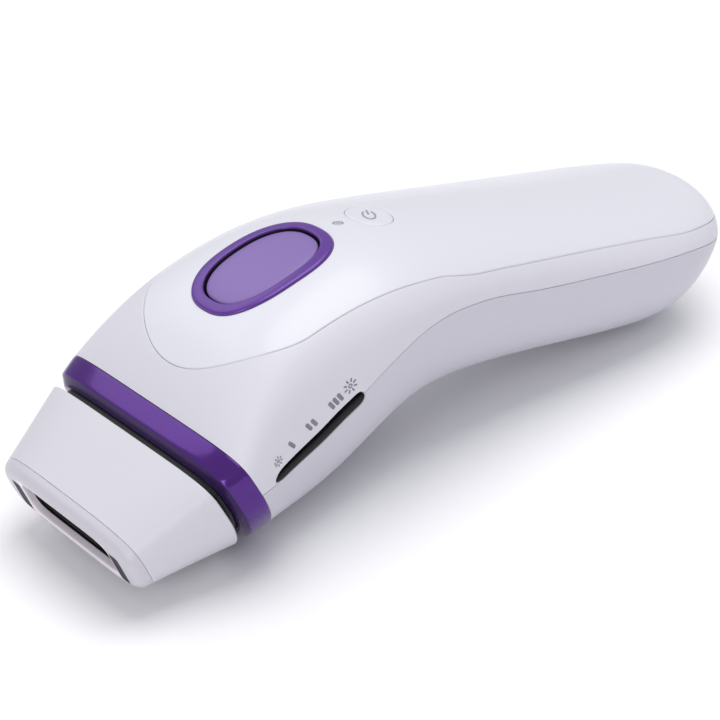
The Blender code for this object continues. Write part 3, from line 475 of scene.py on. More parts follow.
def make(name, verts, faces, mat, sharp=40, merge=1e-7, flip=False):
    bm = bmesh.new()
    vs = [bm.verts.new(tuple(float(c) * MM for c in v)) for v in verts]
    for f in faces:
        ids = [i for k, i in enumerate(f) if i != f[k - 1]]
        if len(set(ids)) > 2:
            try:
                bm.faces.new([vs[i] for i in ids])
            except ValueError:
                pass
    if merge:
        bmesh.ops.remove_doubles(bm, verts=bm.verts, dist=merge)
    loose = [v for v in bm.verts if not v.link_faces]
    bmesh.ops.delete(bm, geom=loose, context="VERTS")
    bmesh.ops.recalc_face_normals(bm, faces=bm.faces)
    me = bpy.data.meshes.new(name)
    bm.to_mesh(me)
    bm.free()
    me.shade_smooth()
    if sharp:
        me.set_sharp_from_angle(angle=math.radians(sharp))
    ob = bpy.data.objects.new(name, me)
    if mat:
        me.materials.append(mat)
    coll.objects.link(ob)
    return ob


def loft(name, rows, mat, ring=False, pole=None, pole_start=None, sharp=40, open_ends=False):
    """Solid or shell through closed rows of points."""
    n = len(rows[0])
    verts = [p for r in rows for p in r]
    faces = []
    pairs = [(i, i + 1) for i in range(len(rows) - 1)] + ([(len(rows) - 1, 0)] if ring else [])
    for a, b in pairs:
        for j in range(n):
            k = (j + 1) % n
            faces.append((a * n + j, a * n + k, b * n + k, b * n + j))
    if not ring and not open_ends:
        for row, tip in ((0, pole_start), (len(rows) - 1, pole)):
            if tip is None:
                faces.append(tuple(row * n + j for j in range(n)))
            else:
                verts.append(tip)
                for j in range(n):
                    faces.append((row * n + j, row * n + (j + 1) % n, len(verts) - 1))
    return make(name, verts, faces, mat, sharp)


def bake(ob):
    """Applies the modifiers to the mesh."""
    me = bpy.data.meshes.new_from_object(ob.evaluated_get(bpy.context.evaluated_depsgraph_get()))
    old = ob.data
    ob.modifiers.clear()
    ob.data = me
    bpy.data.meshes.remove(old)


def cut_with(ob, tools, keep_tools=False, operation="DIFFERENCE"):
    for t in tools:
        m = ob.modifiers.new("cut", "BOOLEAN")
        m.operation = operation
        m.solver = "EXACT"
        m.object = t
    bpy.context.view_layer.update()
    bake(ob)
    if not keep_tools:
        for t in tools:
            bpy.data.objects.remove(t, do_unlink=True)


def even_shading(ob, sharp=40):
    ob.data.set_sharp_from_angle(angle=math.radians(sharp))
    m = ob.modifiers.new("shading", "WEIGHTED_NORMAL")
    m.mode = "FACE_AREA"
    m.weight = 60
    m.keep_sharp = True
    bpy.context.view_layer.update()
    bake(ob)


def place(ob, node, *more):
    """The piece stands for these CAD nodes and rides on the first one's body."""
    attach(ob, BODY_OF[node])
    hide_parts(node, *more)
    return ob


def extra(ob, body):
    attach(ob, body)
    return ob


# ------------------------------------------------------------------ edge lines of the three shells
def smooth_line(xs, zs):
    """Smooth curve through the drawing's points, as dense tables."""
    xs, zs = np.array(xs, float), np.array(zs, float)
    m = np.gradient(zs, xs)
    x = np.linspace(xs[0], xs[-1], 1200)
    i = np.clip(np.searchsorted(xs, x) - 1, 0, len(xs) - 2)
    h = xs[i + 1] - xs[i]
    t = (x - xs[i]) / h
    z = (2 * t ** 3 - 3 * t ** 2 + 1) * zs[i] + (t ** 3 - 2 * t ** 2 + t) * h * m[i] + (3 * t ** 2 - 2 * t ** 3) * zs[i + 1] + (t ** 3 - t ** 2) * h * m[i + 1]
    return x, z, np.gradient(z, x)


SEAM = smooth_line(SEAM_X, SEAM_Z)
EDGE = smooth_line(COVER_EDGE_X, COVER_EDGE_Z)


def above_line(line):
    def f(u, th):
        p = body_at(u, th)
        z = np.interp(p[..., 0], line[0], line[1])
        k = np.interp(p[..., 0], line[0], line[2])
        return (p[..., 2] - z) / np.sqrt(1 + k * k)
    return f


def cover_plan(u, th):
    p = body_at(u, th)
    x, y = p[..., 0], np.abs(p[..., 1])
    xc = COVER_FRONT_X + COVER_NOSE
    ex, ey = (x - xc) / COVER_NOSE, y / COVER_HALF_WIDTH
    r = np.sqrt(ex ** 2 + ey ** 2) + 1e-9
    g = np.sqrt((ex / COVER_NOSE) ** 2 + (ey / COVER_HALF_WIDTH) ** 2) / r + 1e-9
    nose = (1 - r) / g
    wide = np.interp(x, COVER_FLARE_X, COVER_FLARE_Y, left=COVER_HALF_WIDTH) - y
    out = np.where(x < xc, nose, wide)
    low = np.sin(th) < 0.05
    return np.where(low, -30.0, np.clip(out, -30, 30))


def on_surface(f):
    """Turns a signed value into a distance measured along the skin."""
    def g(u, th):
        v = f(u, th)
        uc = np.clip(u, 0.002, 0.998)
        e, a = 0.001, 0.006
        pu = (body_at(uc + e, th) - body_at(uc - e, th)) / (2 * e)
        pt = (body_at(uc, th + a) - body_at(uc, th - a)) / (2 * a)
        fu = (f(uc + e, th) - f(uc - e, th)) / (2 * e)
        ft = (f(uc, th + a) - f(uc, th - a)) / (2 * a)
        ee, ff, gg = (pu * pu).sum(-1), (pu * pt).sum(-1), (pt * pt).sum(-1)
        det = ee * gg - ff * ff + 1e-9
        g2 = (gg * fu ** 2 - 2 * ff * fu * ft + ee * ft ** 2) / det
        return v / np.sqrt(np.clip(g2, 0.12, 4.0))
    return g


seam_side = above_line(SEAM)
_plan = on_surface(cover_plan)
_edge = above_line(EDGE)


def cover_side(u, th):
    a, b = _plan(u, th), _edge(u, th)
    k = 1.6
    h = np.clip(0.5 + 0.5 * (b - a) / k, 0, 1)
    return b * (1 - h) + a * h - k * h * (1 - h)


# ------------------------------------------------------------------ fine grid of the skin
NT, NB, NU = 58, 44, 176


def even_stations(count):
    u = np.linspace(0, 1, 3001)
    d = 0
    for th in (math.pi / 2, 0.0, -math.pi / 2):
        d = d + np.concatenate([[0], np.cumsum(np.linalg.norm(np.diff(body_at(u, th), axis=0), axis=1))])
    return np.interp(np.linspace(0, d[-1], count), d, u)


def grid():
    us = even_stations(NU)
    s = np.linspace(0, 1, 241)
    q = (1 - np.cos(math.pi * s)) * math.pi / 4
    uu = np.minimum(us, 0.99985)
    cols = []
    for k, count in ((-1, NB), (0, NT), (1, NT), (2, NB)):
        th = (q + k * math.pi / 2)[None]
        p = body_at(uu[:, None], th)
        d = np.concatenate([np.zeros((len(us), 1)), np.cumsum(np.linalg.norm(np.diff(p, axis=1), axis=2), axis=1)], axis=1)
        part = np.empty((len(us), count + 1))
        for i in range(len(us)):
            part[i] = np.interp(np.linspace(0, d[i, -1], count + 1), d[i], th[0])
        cols.append(part[:, :-1] if k < 2 else part)
    th = np.concatenate(cols, 1)
    return np.repeat(us[:, None], th.shape[1], 1), th


GRID_U, GRID_TH = grid()


class Sheet:
    """A piece of the skin held as surface coordinates, cut along lines where a field takes a value."""

    def __init__(self, fields):
        r, c = GRID_U.shape
        self.u, self.th = GRID_U.ravel().copy(), GRID_TH.ravel().copy()
        self.faces = [[i * c + j, i * c + j + 1, (i + 1) * c + j + 1, (i + 1) * c + j] for i in range(r - 1) for j in range(c - 1)]
        self.fields = fields
        self.val = {k: f(self.u, self.th) for k, f in fields.items()}

    def cut(self, key, level):
        v = self.val[key] - level
        v = np.where(np.abs(v) < 2e-4, 2e-4, v)
        s = (v > 0).tolist()
        base = len(self.u)
        edges, out = {}, []
        todo = self.faces
        while todo:
            nxt = []
            for face in todo:
                sg = [s[i] for i in face]
                if all(sg) or not any(sg):
                    out.append(face)
                    continue
                poly, cuts = [], []
                for k, a in enumerate(face):
                    b = face[(k + 1) % len(face)]
                    poly.append(a)
                    if s[a] != s[b]:
                        key2 = (a, b) if a < b else (b, a)
                        idx = edges.get(key2)
                        if idx is None:
                            idx = edges[key2] = base + len(edges)
                        cuts.append(len(poly))
                        poly.append(idx)
                if len(cuts) == 2:
                    i, j = cuts
                    out.append(poly[i:j + 1])
                    out.append(poly[j:] + poly[:i + 1])
                else:
                    nxt += [[face[0], face[k], face[k + 1]] for k in range(1, len(face) - 1)]
            todo = nxt
        if edges:
            ab = np.array(list(edges.keys()))
            f = self.fields[key]
            ua, ub, ta, tb = self.u[ab[:, 0]], self.u[ab[:, 1]], self.th[ab[:, 0]], self.th[ab[:, 1]]
            lo, hi = np.zeros(len(ab)), np.ones(len(ab))
            flo, fhi = v[ab[:, 0]], v[ab[:, 1]]
            for _ in range(5):
                t = np.clip(lo + (hi - lo) * flo / (flo - fhi), lo + 0.02 * (hi - lo), hi - 0.02 * (hi - lo))
                fv = f(ua + t * (ub - ua), ta + t * (tb - ta)) - level
                same = (fv > 0) == (flo > 0)
                lo, flo = np.where(same, t, lo), np.where(same, fv, flo)
                hi, fhi = np.where(same, hi, t), np.where(same, fhi, fv)
            t = lo + (hi - lo) * flo / (flo - fhi + 1e-15)
            nu, nt = ua + t * (ub - ua), ta + t * (tb - ta)
            self.u, self.th = np.append(self.u, nu), np.append(self.th, nt)
            for k, g in self.fields.items():
                add = np.full(len(ab), float(level)) if k == key else g(nu, nt)
                self.val[k] = np.append(self.val[k], add)
        self.faces = out

    def keep(self, key, level, above=True):
        cnt = np.array([len(f) for f in self.faces])
        flat = np.concatenate([np.array(f) for f in self.faces])
        mean = np.add.reduceat(self.val[key][flat], np.concatenate([[0], np.cumsum(cnt)[:-1]])) / cnt
        good = (mean > level) if above else (mean < level)
        self.faces = [f for f, g in zip(self.faces, good) if g]

    def solid(self, name, depth, wall, mat, floor=True):
        """Closed shell: the outer side lies at depth under the skin, the inner side at wall."""
        used = sorted(set(i for f in self.faces for i in f))
        remap = {a: b for b, a in enumerate(used)}
        u, th = self.u[used], self.th[used]
        dep = depth({k: v[used] for k, v in self.val.items()})
        p, n = body_at(u, th), normal_at(u, th)
        outer = p - n * dep[:, None]
        if floor:
            outer[:, 2] = np.maximum(outer[:, 2], 0.0)
        wl = np.maximum(wall, dep + 0.4)
        inner = p - n * wl[:, None]
        # points that coincide on the underside line and at the tail become one
        bm = bmesh.new()
        vs = [bm.verts.new(tuple(c * MM)) for c in p]
        bm.verts.index_update()
        target = bmesh.ops.find_doubles(bm, verts=bm.verts, dist=1.5e-7)["targetmap"]
        to = list(range(len(vs)))
        for a, b in target.items():
            to[a.index] = b.index
        bm.free()
        m = len(used)
        faces, count = [], {}
        for f in self.faces:
            g = [to[remap[i]] for i in f]
            g = [a for k, a in enumerate(g) if a != g[k - 1]]
            if len(set(g)) < 3:
                continue
            faces.append(g)
            for k, a in enumerate(g):
                b = g[(k + 1) % len(g)]
                count[(a, b)] = count.get((a, b), 0) + 1
        allf = [tuple(f) for f in faces] + [tuple(i + m for i in reversed(f)) for f in faces]
        for (a, b), c in count.items():
            if (b, a) not in count:
                allf.append((b, a, a + m, b + m))
        return make(name, np.concatenate([outer, inner]), allf, mat, sharp=None, merge=0)


def round_levels(r, steps=(90, 66, 44, 24, 8, 0)):
    return [r * (1 - math.sin(math.radians(a))) for a in steps]


def round_depth(f, r):
    """Depth under the skin at distance f inside an edge rounded to radius r."""
    g = np.clip(f, 0, r)
    return r - np.sqrt(np.clip(r * r - (r - g) ** 2, 0, None))


R_SEAM, R_COVER = 0.26, 0.42
LINE = 0.035                 # visible width of a seam line

# lower shell
sheet = Sheet({"seam": lambda u, th: -seam_side(u, th)})
for k in round_levels(R_SEAM):
    sheet.cut("seam", LINE / 2 + k)
sheet.keep("seam", LINE / 2)
lower = sheet.solid("lower_shell_fine", lambda v: round_depth(v["seam"] - LINE / 2, R_SEAM), WALL, M_LOWER)

# upper shell, stepped down under the top cover
sheet = Sheet({"seam": seam_side, "cover": lambda u, th: -cover_side(u, th)})
for k in round_levels(R_SEAM):
    sheet.cut("seam", LINE / 2 + k)
sheet.keep("seam", LINE / 2)
for k in round_levels(0.14, (90, 60, 30, 0)):
    sheet.cut("cover", LINE + k)
sheet.cut("cover", LINE - 0.015)


def upper_depth(v):
    rim = round_depth(v["cover"] - LINE, 0.14)
    d = round_depth(v["seam"] - LINE / 2, R_SEAM) + np.where(v["cover"] >= LINE - 0.005, rim, COVER_THICKNESS + GAP)
    return np.minimum(d, COVER_THICKNESS + GAP)


upper = sheet.solid("upper_shell_fine", upper_depth, WALL, M_SIDE)

# top cover
sheet = Sheet({"cover": cover_side})
for k in round_levels(R_COVER):
    sheet.cut("cover", k)
sheet.keep("cover", 0.0)
cover = sheet.solid("top_cover_fine", lambda v: round_depth(v["cover"], R_COVER), COVER_THICKNESS, M_COVER)


# ------------------------------------------------------------------ openings, with softly rounded rims that follow the skin
def flared(name, fr, outline, bottom, soft):
    rows = []
    for grow, lift in ((0, bottom), (0, -0.9 * soft), (0.12 * soft, -0.45 * soft), (0.38 * soft, -0.16 * soft), (0.8 * soft, 0.0), (1.7 * soft, 0.5 * soft), (1.9 * soft, 3.0)):
        rows.append(on_top(fr, outline(grow), lift))
    return loft(name, rows, None)


holes = [
    flared("bezel_hole", TRIGGER, lambda g: oval(BEZEL_HALF[0] + 0.05 + g, BEZEL_HALF[1] + 0.05 + g, BEZEL_SQUARE, 120), -9.0, 0.14),
    flared("power_hole", POWER, lambda g: oval(POWER_HALF[0] + 0.07 + g, POWER_HALF[1] + 0.07 + g, 2.0, 96), -5.0, 0.3),
    flared("led_hole", LED, lambda g: oval(LED_RADIUS + 0.12 + g, LED_RADIUS + 0.12 + g, 2.0, 36), -5.0, 0.2),
]
cut_with(cover, holes, keep_tools=True)


SLOT_LINE = smooth_line(SLOT_U, SLOT_ANGLE)


def slot_at(s, side, grow):
    """Surface coordinates on the slot's rim: s runs 0..1 along it, side is -1 or 1 across it."""
    length = 28.0
    end = np.minimum(s, 1 - s) * (length + 2 * grow)
    r = SLOT_HALF + grow
    half = r * np.sqrt(np.clip(1 - np.clip(1 - end / (r * 1.5), 0, 1) ** 2, 0.0004, 1))
    u = SLOT_U[0] + (SLOT_U[-1] - SLOT_U[0]) * s + (s - 0.5) * 2 * grow * 0.0055
    a = np.radians(np.interp(u, SLOT_LINE[0], SLOT_LINE[1]) + np.clip(SLOT_U[0] - u, 0, 1) * 110.0)
    w = stations(u)[4]
    return u, a + side * half / w


def slot_solid(name, mat, profile, count=64):
    """Solid along the slot. profile lists (side, grow, depth) once round the cross-section."""
    q = np.linspace(0, math.pi, count)
    s = (1 - np.cos(q)) / 2
    cols = []
    for side, grow, depth in profile:
        u, th = slot_at(s, side, grow)
        cols.append(body_at(u, th) - normal_at(u, th) * depth)
    rows = [[c[i] for c in cols] for i in range(count)]
    return loft(name, rows, mat, sharp=50)


slot_cut = slot_solid("slot_cut", None, [(-1, 0.8, -1.5), (-1, 0.34, -0.02), (-1, 0.25, 0.05), (-1, 0.2, 0.2), (-1, 0.2, 5.0), (1, 0.2, 5.0), (1, 0.2, 0.2), (1, 0.25, 0.05), (1, 0.34, -0.02), (1, 0.8, -1.5)])
cut_with(upper, holes + [slot_cut], keep_tools=True)
cut_with(lower, [slot_cut])
for h in holes:
    bpy.data.objects.remove(h, do_unlink=True)


def block(name, centre, size, fr=None, mat=None, bevel=0.0):
    bm = bmesh.new()
    bmesh.ops.create_cube(bm, size=1.0, matrix=Matrix.Scale(MM, 4) @ (fr or Matrix.Identity(4)) @ Matrix.Translation(Vector(centre)) @ Matrix.Diagonal((*size, 1.0)))
    if bevel:
        bmesh.ops.bevel(bm, geom=bm.edges[:] + bm.verts[:], offset=bevel * MM, segments=3, affect="EDGES", profile=0.5)
    me = bpy.data.meshes.new(name)
    bm.to_mesh(me)
    bm.free()
    ob = bpy.data.objects.new(name, me)
    if mat:
        me.materials.append(mat)
    coll.objects.link(ob)
    return ob


inlet_pts = oval(8.2 + GAP, 6.0 + GAP, 4.0, 72)


def inlet_row(w, h, z, n=4.0, count=72):
    return [np.array(INLET @ Vector((x, y, z))) for x, y in oval(w, h, n, count)]


inlet_hole = loft("inlet_hole", [inlet_row(8.5, 6.3, 70.0), inlet_row(8.5, 6.3, 120.0)], None)
vents = [block("vent_%d" % i, (-29.0 + 5.0 * i, 0, 4.5), (1.8, 16, 24), bevel=0.7) for i in range(5)]
cut_with(lower, [inlet_hole] + vents)
for ob in (lower, upper, cover):
    even_shading(ob)
place(lower, "lower_shell")
place(upper, "upper_shell")
place(cover, "top_cover")

# ------------------------------------------------------------------ collar ring
RING_TH = even_angles(lambda th: ring_section(th, 3.0, 0.0), (64, 64, 44, 44))
ring_rows = [ring_section(RING_TH, f, i) for f, i in (
    (0.05, 1.2), (0.05, 0.3), (0.08, 0.08), (0.18, -0.03), (0.4, -0.09), (1.0, -0.13), (2.4, -0.16), (4.0, -0.16), (4.75, -0.13), (4.98, -0.07), (5.1, 0.02),
    (5.25, 0.18), (5.55, 0.52), (6.0, 0.98), (6.3, 1.28), (6.5, 1.5), (6.60, 1.8), (6.60, 2.6), (6.60, 4.4), (3.4, 4.4), (0.05, 4.4))]
for r in ring_rows:
    r[:, 2] = np.maximum(r[:, 2], 0.0)
collar = loft("collar_ring_fine", ring_rows, M_RING, ring=True, sharp=60)
even_shading(collar, 60)
# the front chamfer and front face take the darker copy of the pearl purple: painted shade where the chamfer turns away
# from the light
collar.data.materials.append(M_RING_PAINTED_SHADE)
for poly in collar.data.polygons:
    poly.material_index = 1 if (poly.center / MM - COLLAR).dot(A) > 5.12 else 0
place(collar, "collar_ring")
# black sleeve, not a part of the drawing, set behind the gap between ring and cap: its black paints the shade inside
# the gap
neck_rows = [ring_section(RING_TH, f, i) for f, i in ((5.6, 3.5), (5.6, 2.7), (7.9, 2.7), (8.2, 3.0), (8.2, 3.5))]
extra(loft("neck_sleeve", neck_rows, M_BLACK_AND_PAINTED_SHADE, ring=True), "housing")

# ------------------------------------------------------------------ treatment cap
CAP_TH = even_angles(lambda th: cap_skin(0.5, th), (64, 64, 44, 44))


def cap_edge(t0, direction, r):
    """Rows of a rounded edge of the cap's skin at t0, running inwards from the edge."""
    length = (Vector((FACE_CENTRE[0], 0, FACE_CENTRE[1])) - (COLLAR + A * CAP_START)).length
    rows = []
    for a in (90, 68, 46, 26, 10, 0):
        back = r * (1 - math.sin(math.radians(a)))
        rows.append((t0 + direction * back / length, r * (1 - math.cos(math.radians(a)))))
    return rows


cap_profile = cap_edge(0.0, 1, 0.45) + [(t, 0.0) for t in np.linspace(0.06, CAP_SEAM - 0.06, 22)] + cap_edge(CAP_SEAM - 0.001, -1, 0.16)[::-1]
cap_rows = [cap_skin(t, CAP_TH, i) for t, i in cap_profile] + [cap_skin(t, CAP_TH, 2.0) for t in np.linspace(CAP_SEAM - 0.002, 0.0, 10)]
for r in cap_rows:
    r[:, 2] = np.maximum(r[:, 2], 0.0)
cap = loft("cap_shell_fine", cap_rows, M_CAP, ring=True)
even_shading(cap)
place(cap, "cap_shell")

FACE = frame_of((FACE_CENTRE[0], 0, FACE_CENTRE[1]), FACE_OUT, FACE_UP)
CAP_LENGTH = (Vector((FACE_CENTRE[0], 0, FACE_CENTRE[1])) - (COLLAR + A * CAP_START)).length
FF_TH = even_angles(lambda th: cap_skin(0.9, th), (72, 72, 60, 60))
face_rows = [cap_skin(t, FF_TH, i) for t, i in cap_edge(CAP_SEAM + 0.001, 1, 0.16)]
for a in np.linspace(0, 90, 10):
    back = RIM_ROUND * (1 - math.sin(math.radians(a)))
    face_rows.append(cap_skin(1.0 - back / CAP_LENGTH, FF_TH, RIM_ROUND * (1 - math.cos(math.radians(a)))))


def face_blend(k, out):
    """Closed line on the face, from its rim (k = 0) to the window (k = 1)."""
    a = face_section(FF_TH, FACE_HALF_WIDTH - RIM_ROUND, FACE_HALF_HEIGHT - RIM_ROUND, FACE_SQUARE, out)
    b = face_section(FF_TH, WINDOW_HALF_WIDTH + 0.5, WINDOW_HALF_HEIGHT + 0.5, 6.0, out)
    return a * (1 - k) + b * k


face_rows += [face_blend(k, 0.0) for k in (0.2, 0.4, 0.6, 0.8, 0.93)]
for a in np.linspace(0, 90, 6):
    g = 0.5 * (1 - math.sin(math.radians(a)))
    face_rows.append(face_section(FF_TH, WINDOW_HALF_WIDTH + g, WINDOW_HALF_HEIGHT + g, 6.0, -0.5 * (1 - math.cos(math.radians(a)))))
face_rows += [face_section(FF_TH, WINDOW_HALF_WIDTH, WINDOW_HALF_HEIGHT, 6.0, -1.0), face_section(FF_TH, WINDOW_HALF_WIDTH, WINDOW_HALF_HEIGHT, 6.0, -1.68), face_section(FF_TH, WINDOW_HALF_WIDTH, WINDOW_HALF_HEIGHT, 6.0, -2.0)]
face_rows += [face_section(FF_TH, FACE_HALF_WIDTH - 2.2, FACE_HALF_HEIGHT - 2.0, FACE_SQUARE, -2.0), cap_skin(CAP_SEAM + 0.002, FF_TH, 2.0)]
face = loft("face_frame_fine", face_rows, M_FACE, ring=True)


def bar(y, grow, out, count=64):
    """Outline of a sensor bar in the face plane: a rectangle with small round corners."""
    pts = oval(SENSOR_SIZE[0] / 2 + 0.25 + grow, SENSOR_SIZE[1] / 2 - 0.5 + grow, 7.0, count)
    return [np.array(FACE @ Vector((out, y + px, SENSOR_Z + pz))) for px, pz in pts]


pockets = []
for side in (-1, 1):
    y = side * SENSOR_Y
    pockets.append(loft("pocket", [bar(y, 0.14, -6.0), bar(y, 0.14, -0.12), bar(y, 0.16, -0.05), bar(y, 0.2, 0.0), bar(y, 0.7, 0.4), bar(y, 0.7, 3.0)], None))
cut_with(face, pockets)
even_shading(face)
face.data.materials.clear()
face.data.materials.append(M_FACE)
face.data.materials.append(M_LIP)
face.data.materials.append(M_BLACK_AND_PAINTED_SHADE)
# the window wall deeper than 1.68 mm takes black: painted shade inside the top of the window; the shallower wall keeps
# the white lip
inv = FACE.inverted()
for poly in face.data.polygons:
    c = inv @ (poly.center / MM)
    inside = abs(c.y) < WINDOW_HALF_WIDTH + 0.45 and abs(c.z) < WINDOW_HALF_HEIGHT + 0.45 and c.x > -2.1
    poly.material_index = (2 if c.x < -1.68 else 1) if inside else 0
place(face, "face_frame")

for side, node in ((-1, "sensor_left"), (1, "sensor_right")):
    y = side * SENSOR_Y
    rows = [bar(y, 0.0, -1.9), bar(y, 0.02, -0.3), bar(y, 0.06, -0.12), bar(y, 0.0, -0.05), bar(y, -0.15, -0.02), bar(y, -0.3, -0.02), bar(y, -0.4, -0.09), bar(y, -0.8, -0.1)]
    place(loft(node + "_fine", rows, M_SENSOR), node)

LN_TH = even_angles(lambda th: face_section(th, WINDOW_HALF_WIDTH, WINDOW_HALF_HEIGHT, 6.0), (40, 40, 40, 40))
liner_rows = [face_section(LN_TH, WINDOW_HALF_WIDTH + g, WINDOW_HALF_HEIGHT + h, 6.0, o) for g, h, o in (
    (1.0, 0.6, -2.3), (1.0, 0.6, -6.5), (0.0, 0.0, -6.5), (0.0, 0.0, -4.5), (0.0, 0.0, -2.45), (0.05, 0.05, -2.35), (0.15, 0.15, -2.3))]
# the liner's black stands for the shade inside the window: painted shade
liner = loft("window_liner_fine", liner_rows, M_BLACK_AND_PAINTED_SHADE, ring=True)
place(liner, "window_liner")

# ------------------------------------------------------------------ treatment button
BZ = 128


def bezel_ring(d, lift):
    return on_top(TRIGGER, oval(BEZEL_HALF[0] - d, BEZEL_HALF[1] - d, BEZEL_SQUARE, BZ), lift)


bezel_rows = [bezel_ring(d, h) for d, h in (
    (0.0, -3.2), (0.0, -0.1), (0.01, 0.16), (0.06, 0.32), (0.17, 0.45), (0.34, 0.53), (0.6, 0.57), (1.2, 0.59), (2.0, 0.57), (2.35, 0.53),
    (2.52, 0.45), (2.63, 0.3), (2.69, 0.08), (2.7, -0.3), (2.7, -3.2))]
bezel = loft("trigger_bezel_fine", bezel_rows, M_BEZEL, ring=True, sharp=60)
even_shading(bezel, 60)
# the bezel's inner wall beside the pad gap takes black: painted shade in the gap
bezel.data.materials.append(M_BLACK_AND_PAINTED_SHADE)
for poly in bezel.data.polygons:
    poly.material_index = 1 if poly.index // BZ in (12, 13) else 0
place(bezel, "trigger_bezel")

PAD_A, PAD_B = BEZEL_HALF[0] - BEZEL_BAND - GAP - 0.2, BEZEL_HALF[1] - BEZEL_BAND - GAP - 0.2


def pad_ring(k, lift):
    return on_top(TRIGGER, oval(PAD_A * k, PAD_B * k, BEZEL_SQUARE, BZ), lift)


pad_rows = [[np.array(TRIGGER @ Vector((x, y, -5.4))) for x, y in oval(PAD_A, PAD_B, BEZEL_SQUARE, BZ)]]
pad_rows += [pad_ring(k, h) for k, h in (
    (1.0, -1.1), (1.0, -0.65), (0.999, -0.5), (0.993, -0.38), (0.982, -0.29), (0.962, -0.22), (0.92, -0.16), (0.86, -0.11), (0.76, -0.07), (0.64, -0.04), (0.5, -0.02), (0.34, -0.01), (0.17, 0.0))]
pad = loft("trigger_pad_fine", pad_rows, M_PAD, pole=on_top(TRIGGER, [(0, 0)], 0.0)[0], sharp=60)
place(pad, "trigger_pad")

# stem under the pad
stem_rows = [[np.array(TRIGGER @ Vector((x, y, z))) for x, y in oval(r, r, 2.0, 28)] for r, z in ((1.8, -13.0), (2.0, -12.8), (2.0, -5.2))]
extra(loft("trigger_pad_stem", stem_rows, M_PAD), "treatment_button")

# ------------------------------------------------------------------ power button, its mark, and the status light
power_rows = [on_top(POWER, oval(POWER_HALF[0] - d, POWER_HALF[1] - d, 2.0, 96), h) for d, h in (
    (0.0, -2.4), (0.0, -0.34), (0.04, -0.2), (0.14, -0.08), (0.32, 0.0), (0.6, 0.04), (1.1, 0.04), (1.9, 0.0), (2.8, -0.05), (3.8, -0.08), (4.5, -0.09))]
power = loft("power_button_fine", power_rows, M_COVER, pole=on_top(POWER, [(0, 0)], -0.09)[0])
place(power, "power_button")
stem_rows = [[np.array(POWER @ Vector((x, y, z))) for x, y in oval(r, r, 2.0, 24)] for r, z in ((1.3, -6.5), (1.4, -6.3), (1.4, -2.0))]
extra(loft("power_button_stem", stem_rows, M_COVER), "power_key")


def ribbon(name, fr, path, half, lift, mat, closed=False):
    """Thin printed line on the upper skin along a path in a local frame."""
    path = np.asarray(path, float)
    nxt = np.roll(path, -1, 0)
    prv = np.roll(path, 1, 0)
    if not closed:
        nxt[-1], prv[0] = path[-1] * 2 - path[-2], path[0] * 2 - path[1]
    t = nxt - prv
    t /= np.linalg.norm(t, axis=1)[:, None]
    nrm = np.stack([-t[:, 1], t[:, 0]], -1)
    rows = []
    a, b = path + nrm * half, path - nrm * half
    top_a, top_b = on_top(fr, a, lift), on_top(fr, b, lift)
    low_a, low_b = on_top(fr, a, lift - 0.12), on_top(fr, b, lift - 0.12)
    rows = [[top_a[i], top_b[i], low_b[i], low_a[i]] for i in range(len(path))]
    return loft(name, rows, mat, ring=closed)


MARK_LONG, MARK_WIDE, MARK_TURN = 2.75, 1.5, math.radians(64)


def mark_point(r, a):
    """Point of the power mark: a tall oval turned in the button's plane, the bar's direction at a = 90 degrees."""
    x, y = MARK_WIDE * r * math.cos(math.radians(a)), MARK_LONG * r * math.sin(math.radians(a))
    c, q = math.cos(MARK_TURN - math.pi / 2), math.sin(MARK_TURN - math.pi / 2)
    return x * c - y * q, x * q + y * c


arc = [mark_point(0.92, a) for a in np.linspace(128, 412, 56)]
extra(ribbon("power_mark_arc", POWER, arc, 0.2, 0.02, M_ICON), "power_key")
extra(ribbon("power_mark_bar", POWER, [mark_point(r, 90) for r in (0.15, 0.45, 0.8, 1.15)], 0.2, 0.02, M_ICON), "power_key")

led_rows = [on_top(LED, oval(r, r, 2.0, 36), h) for r, h in ((LED_RADIUS, -5.0), (LED_RADIUS, -0.3), (LED_RADIUS - 0.06, -0.18), (LED_RADIUS - 0.2, -0.1), (LED_RADIUS - 0.5, -0.06))]
led = loft("status_light_pipe_fine", led_rows, M_PIPE, pole=on_top(LED, [(0, 0)], -0.05)[0])
place(led, "status_light_pipe")

# ------------------------------------------------------------------ indicator window and the marks above it
lens = slot_solid("indicator_lens_fine", M_LENS, [(-1, 0.1, 0.75), (-1, 0.1, 0.3), (-0.97, 0.08, 0.2), (-0.88, 0.05, 0.16), (-0.5, 0.0, 0.2), (-0.12, 0.0, 0.3), (-0.04, 0.0, 0.42), (0.0, 0.0, 0.75),
                                                  (0.03, 0.0, 1.1), (0.2, 0.0, 1.3), (0.6, 0.05, 1.3), (1, 0.1, 1.2), (1, 0.1, 2.9), (-1, 0.1, 2.9)], count=72)
# the lower half of the lens takes the lighter grey and the upper half stays black: painted light on the lower ledge and
# painted shade under the upper rim
lens.data.materials.append(M_LENS_PAINTED_LIGHT)
for poly in lens.data.polygons:
    t = poly.index % 14
    poly.material_index = 1 if poly.index < 14 * 71 and t < 7 else 0
place(lens, "indicator_lens")


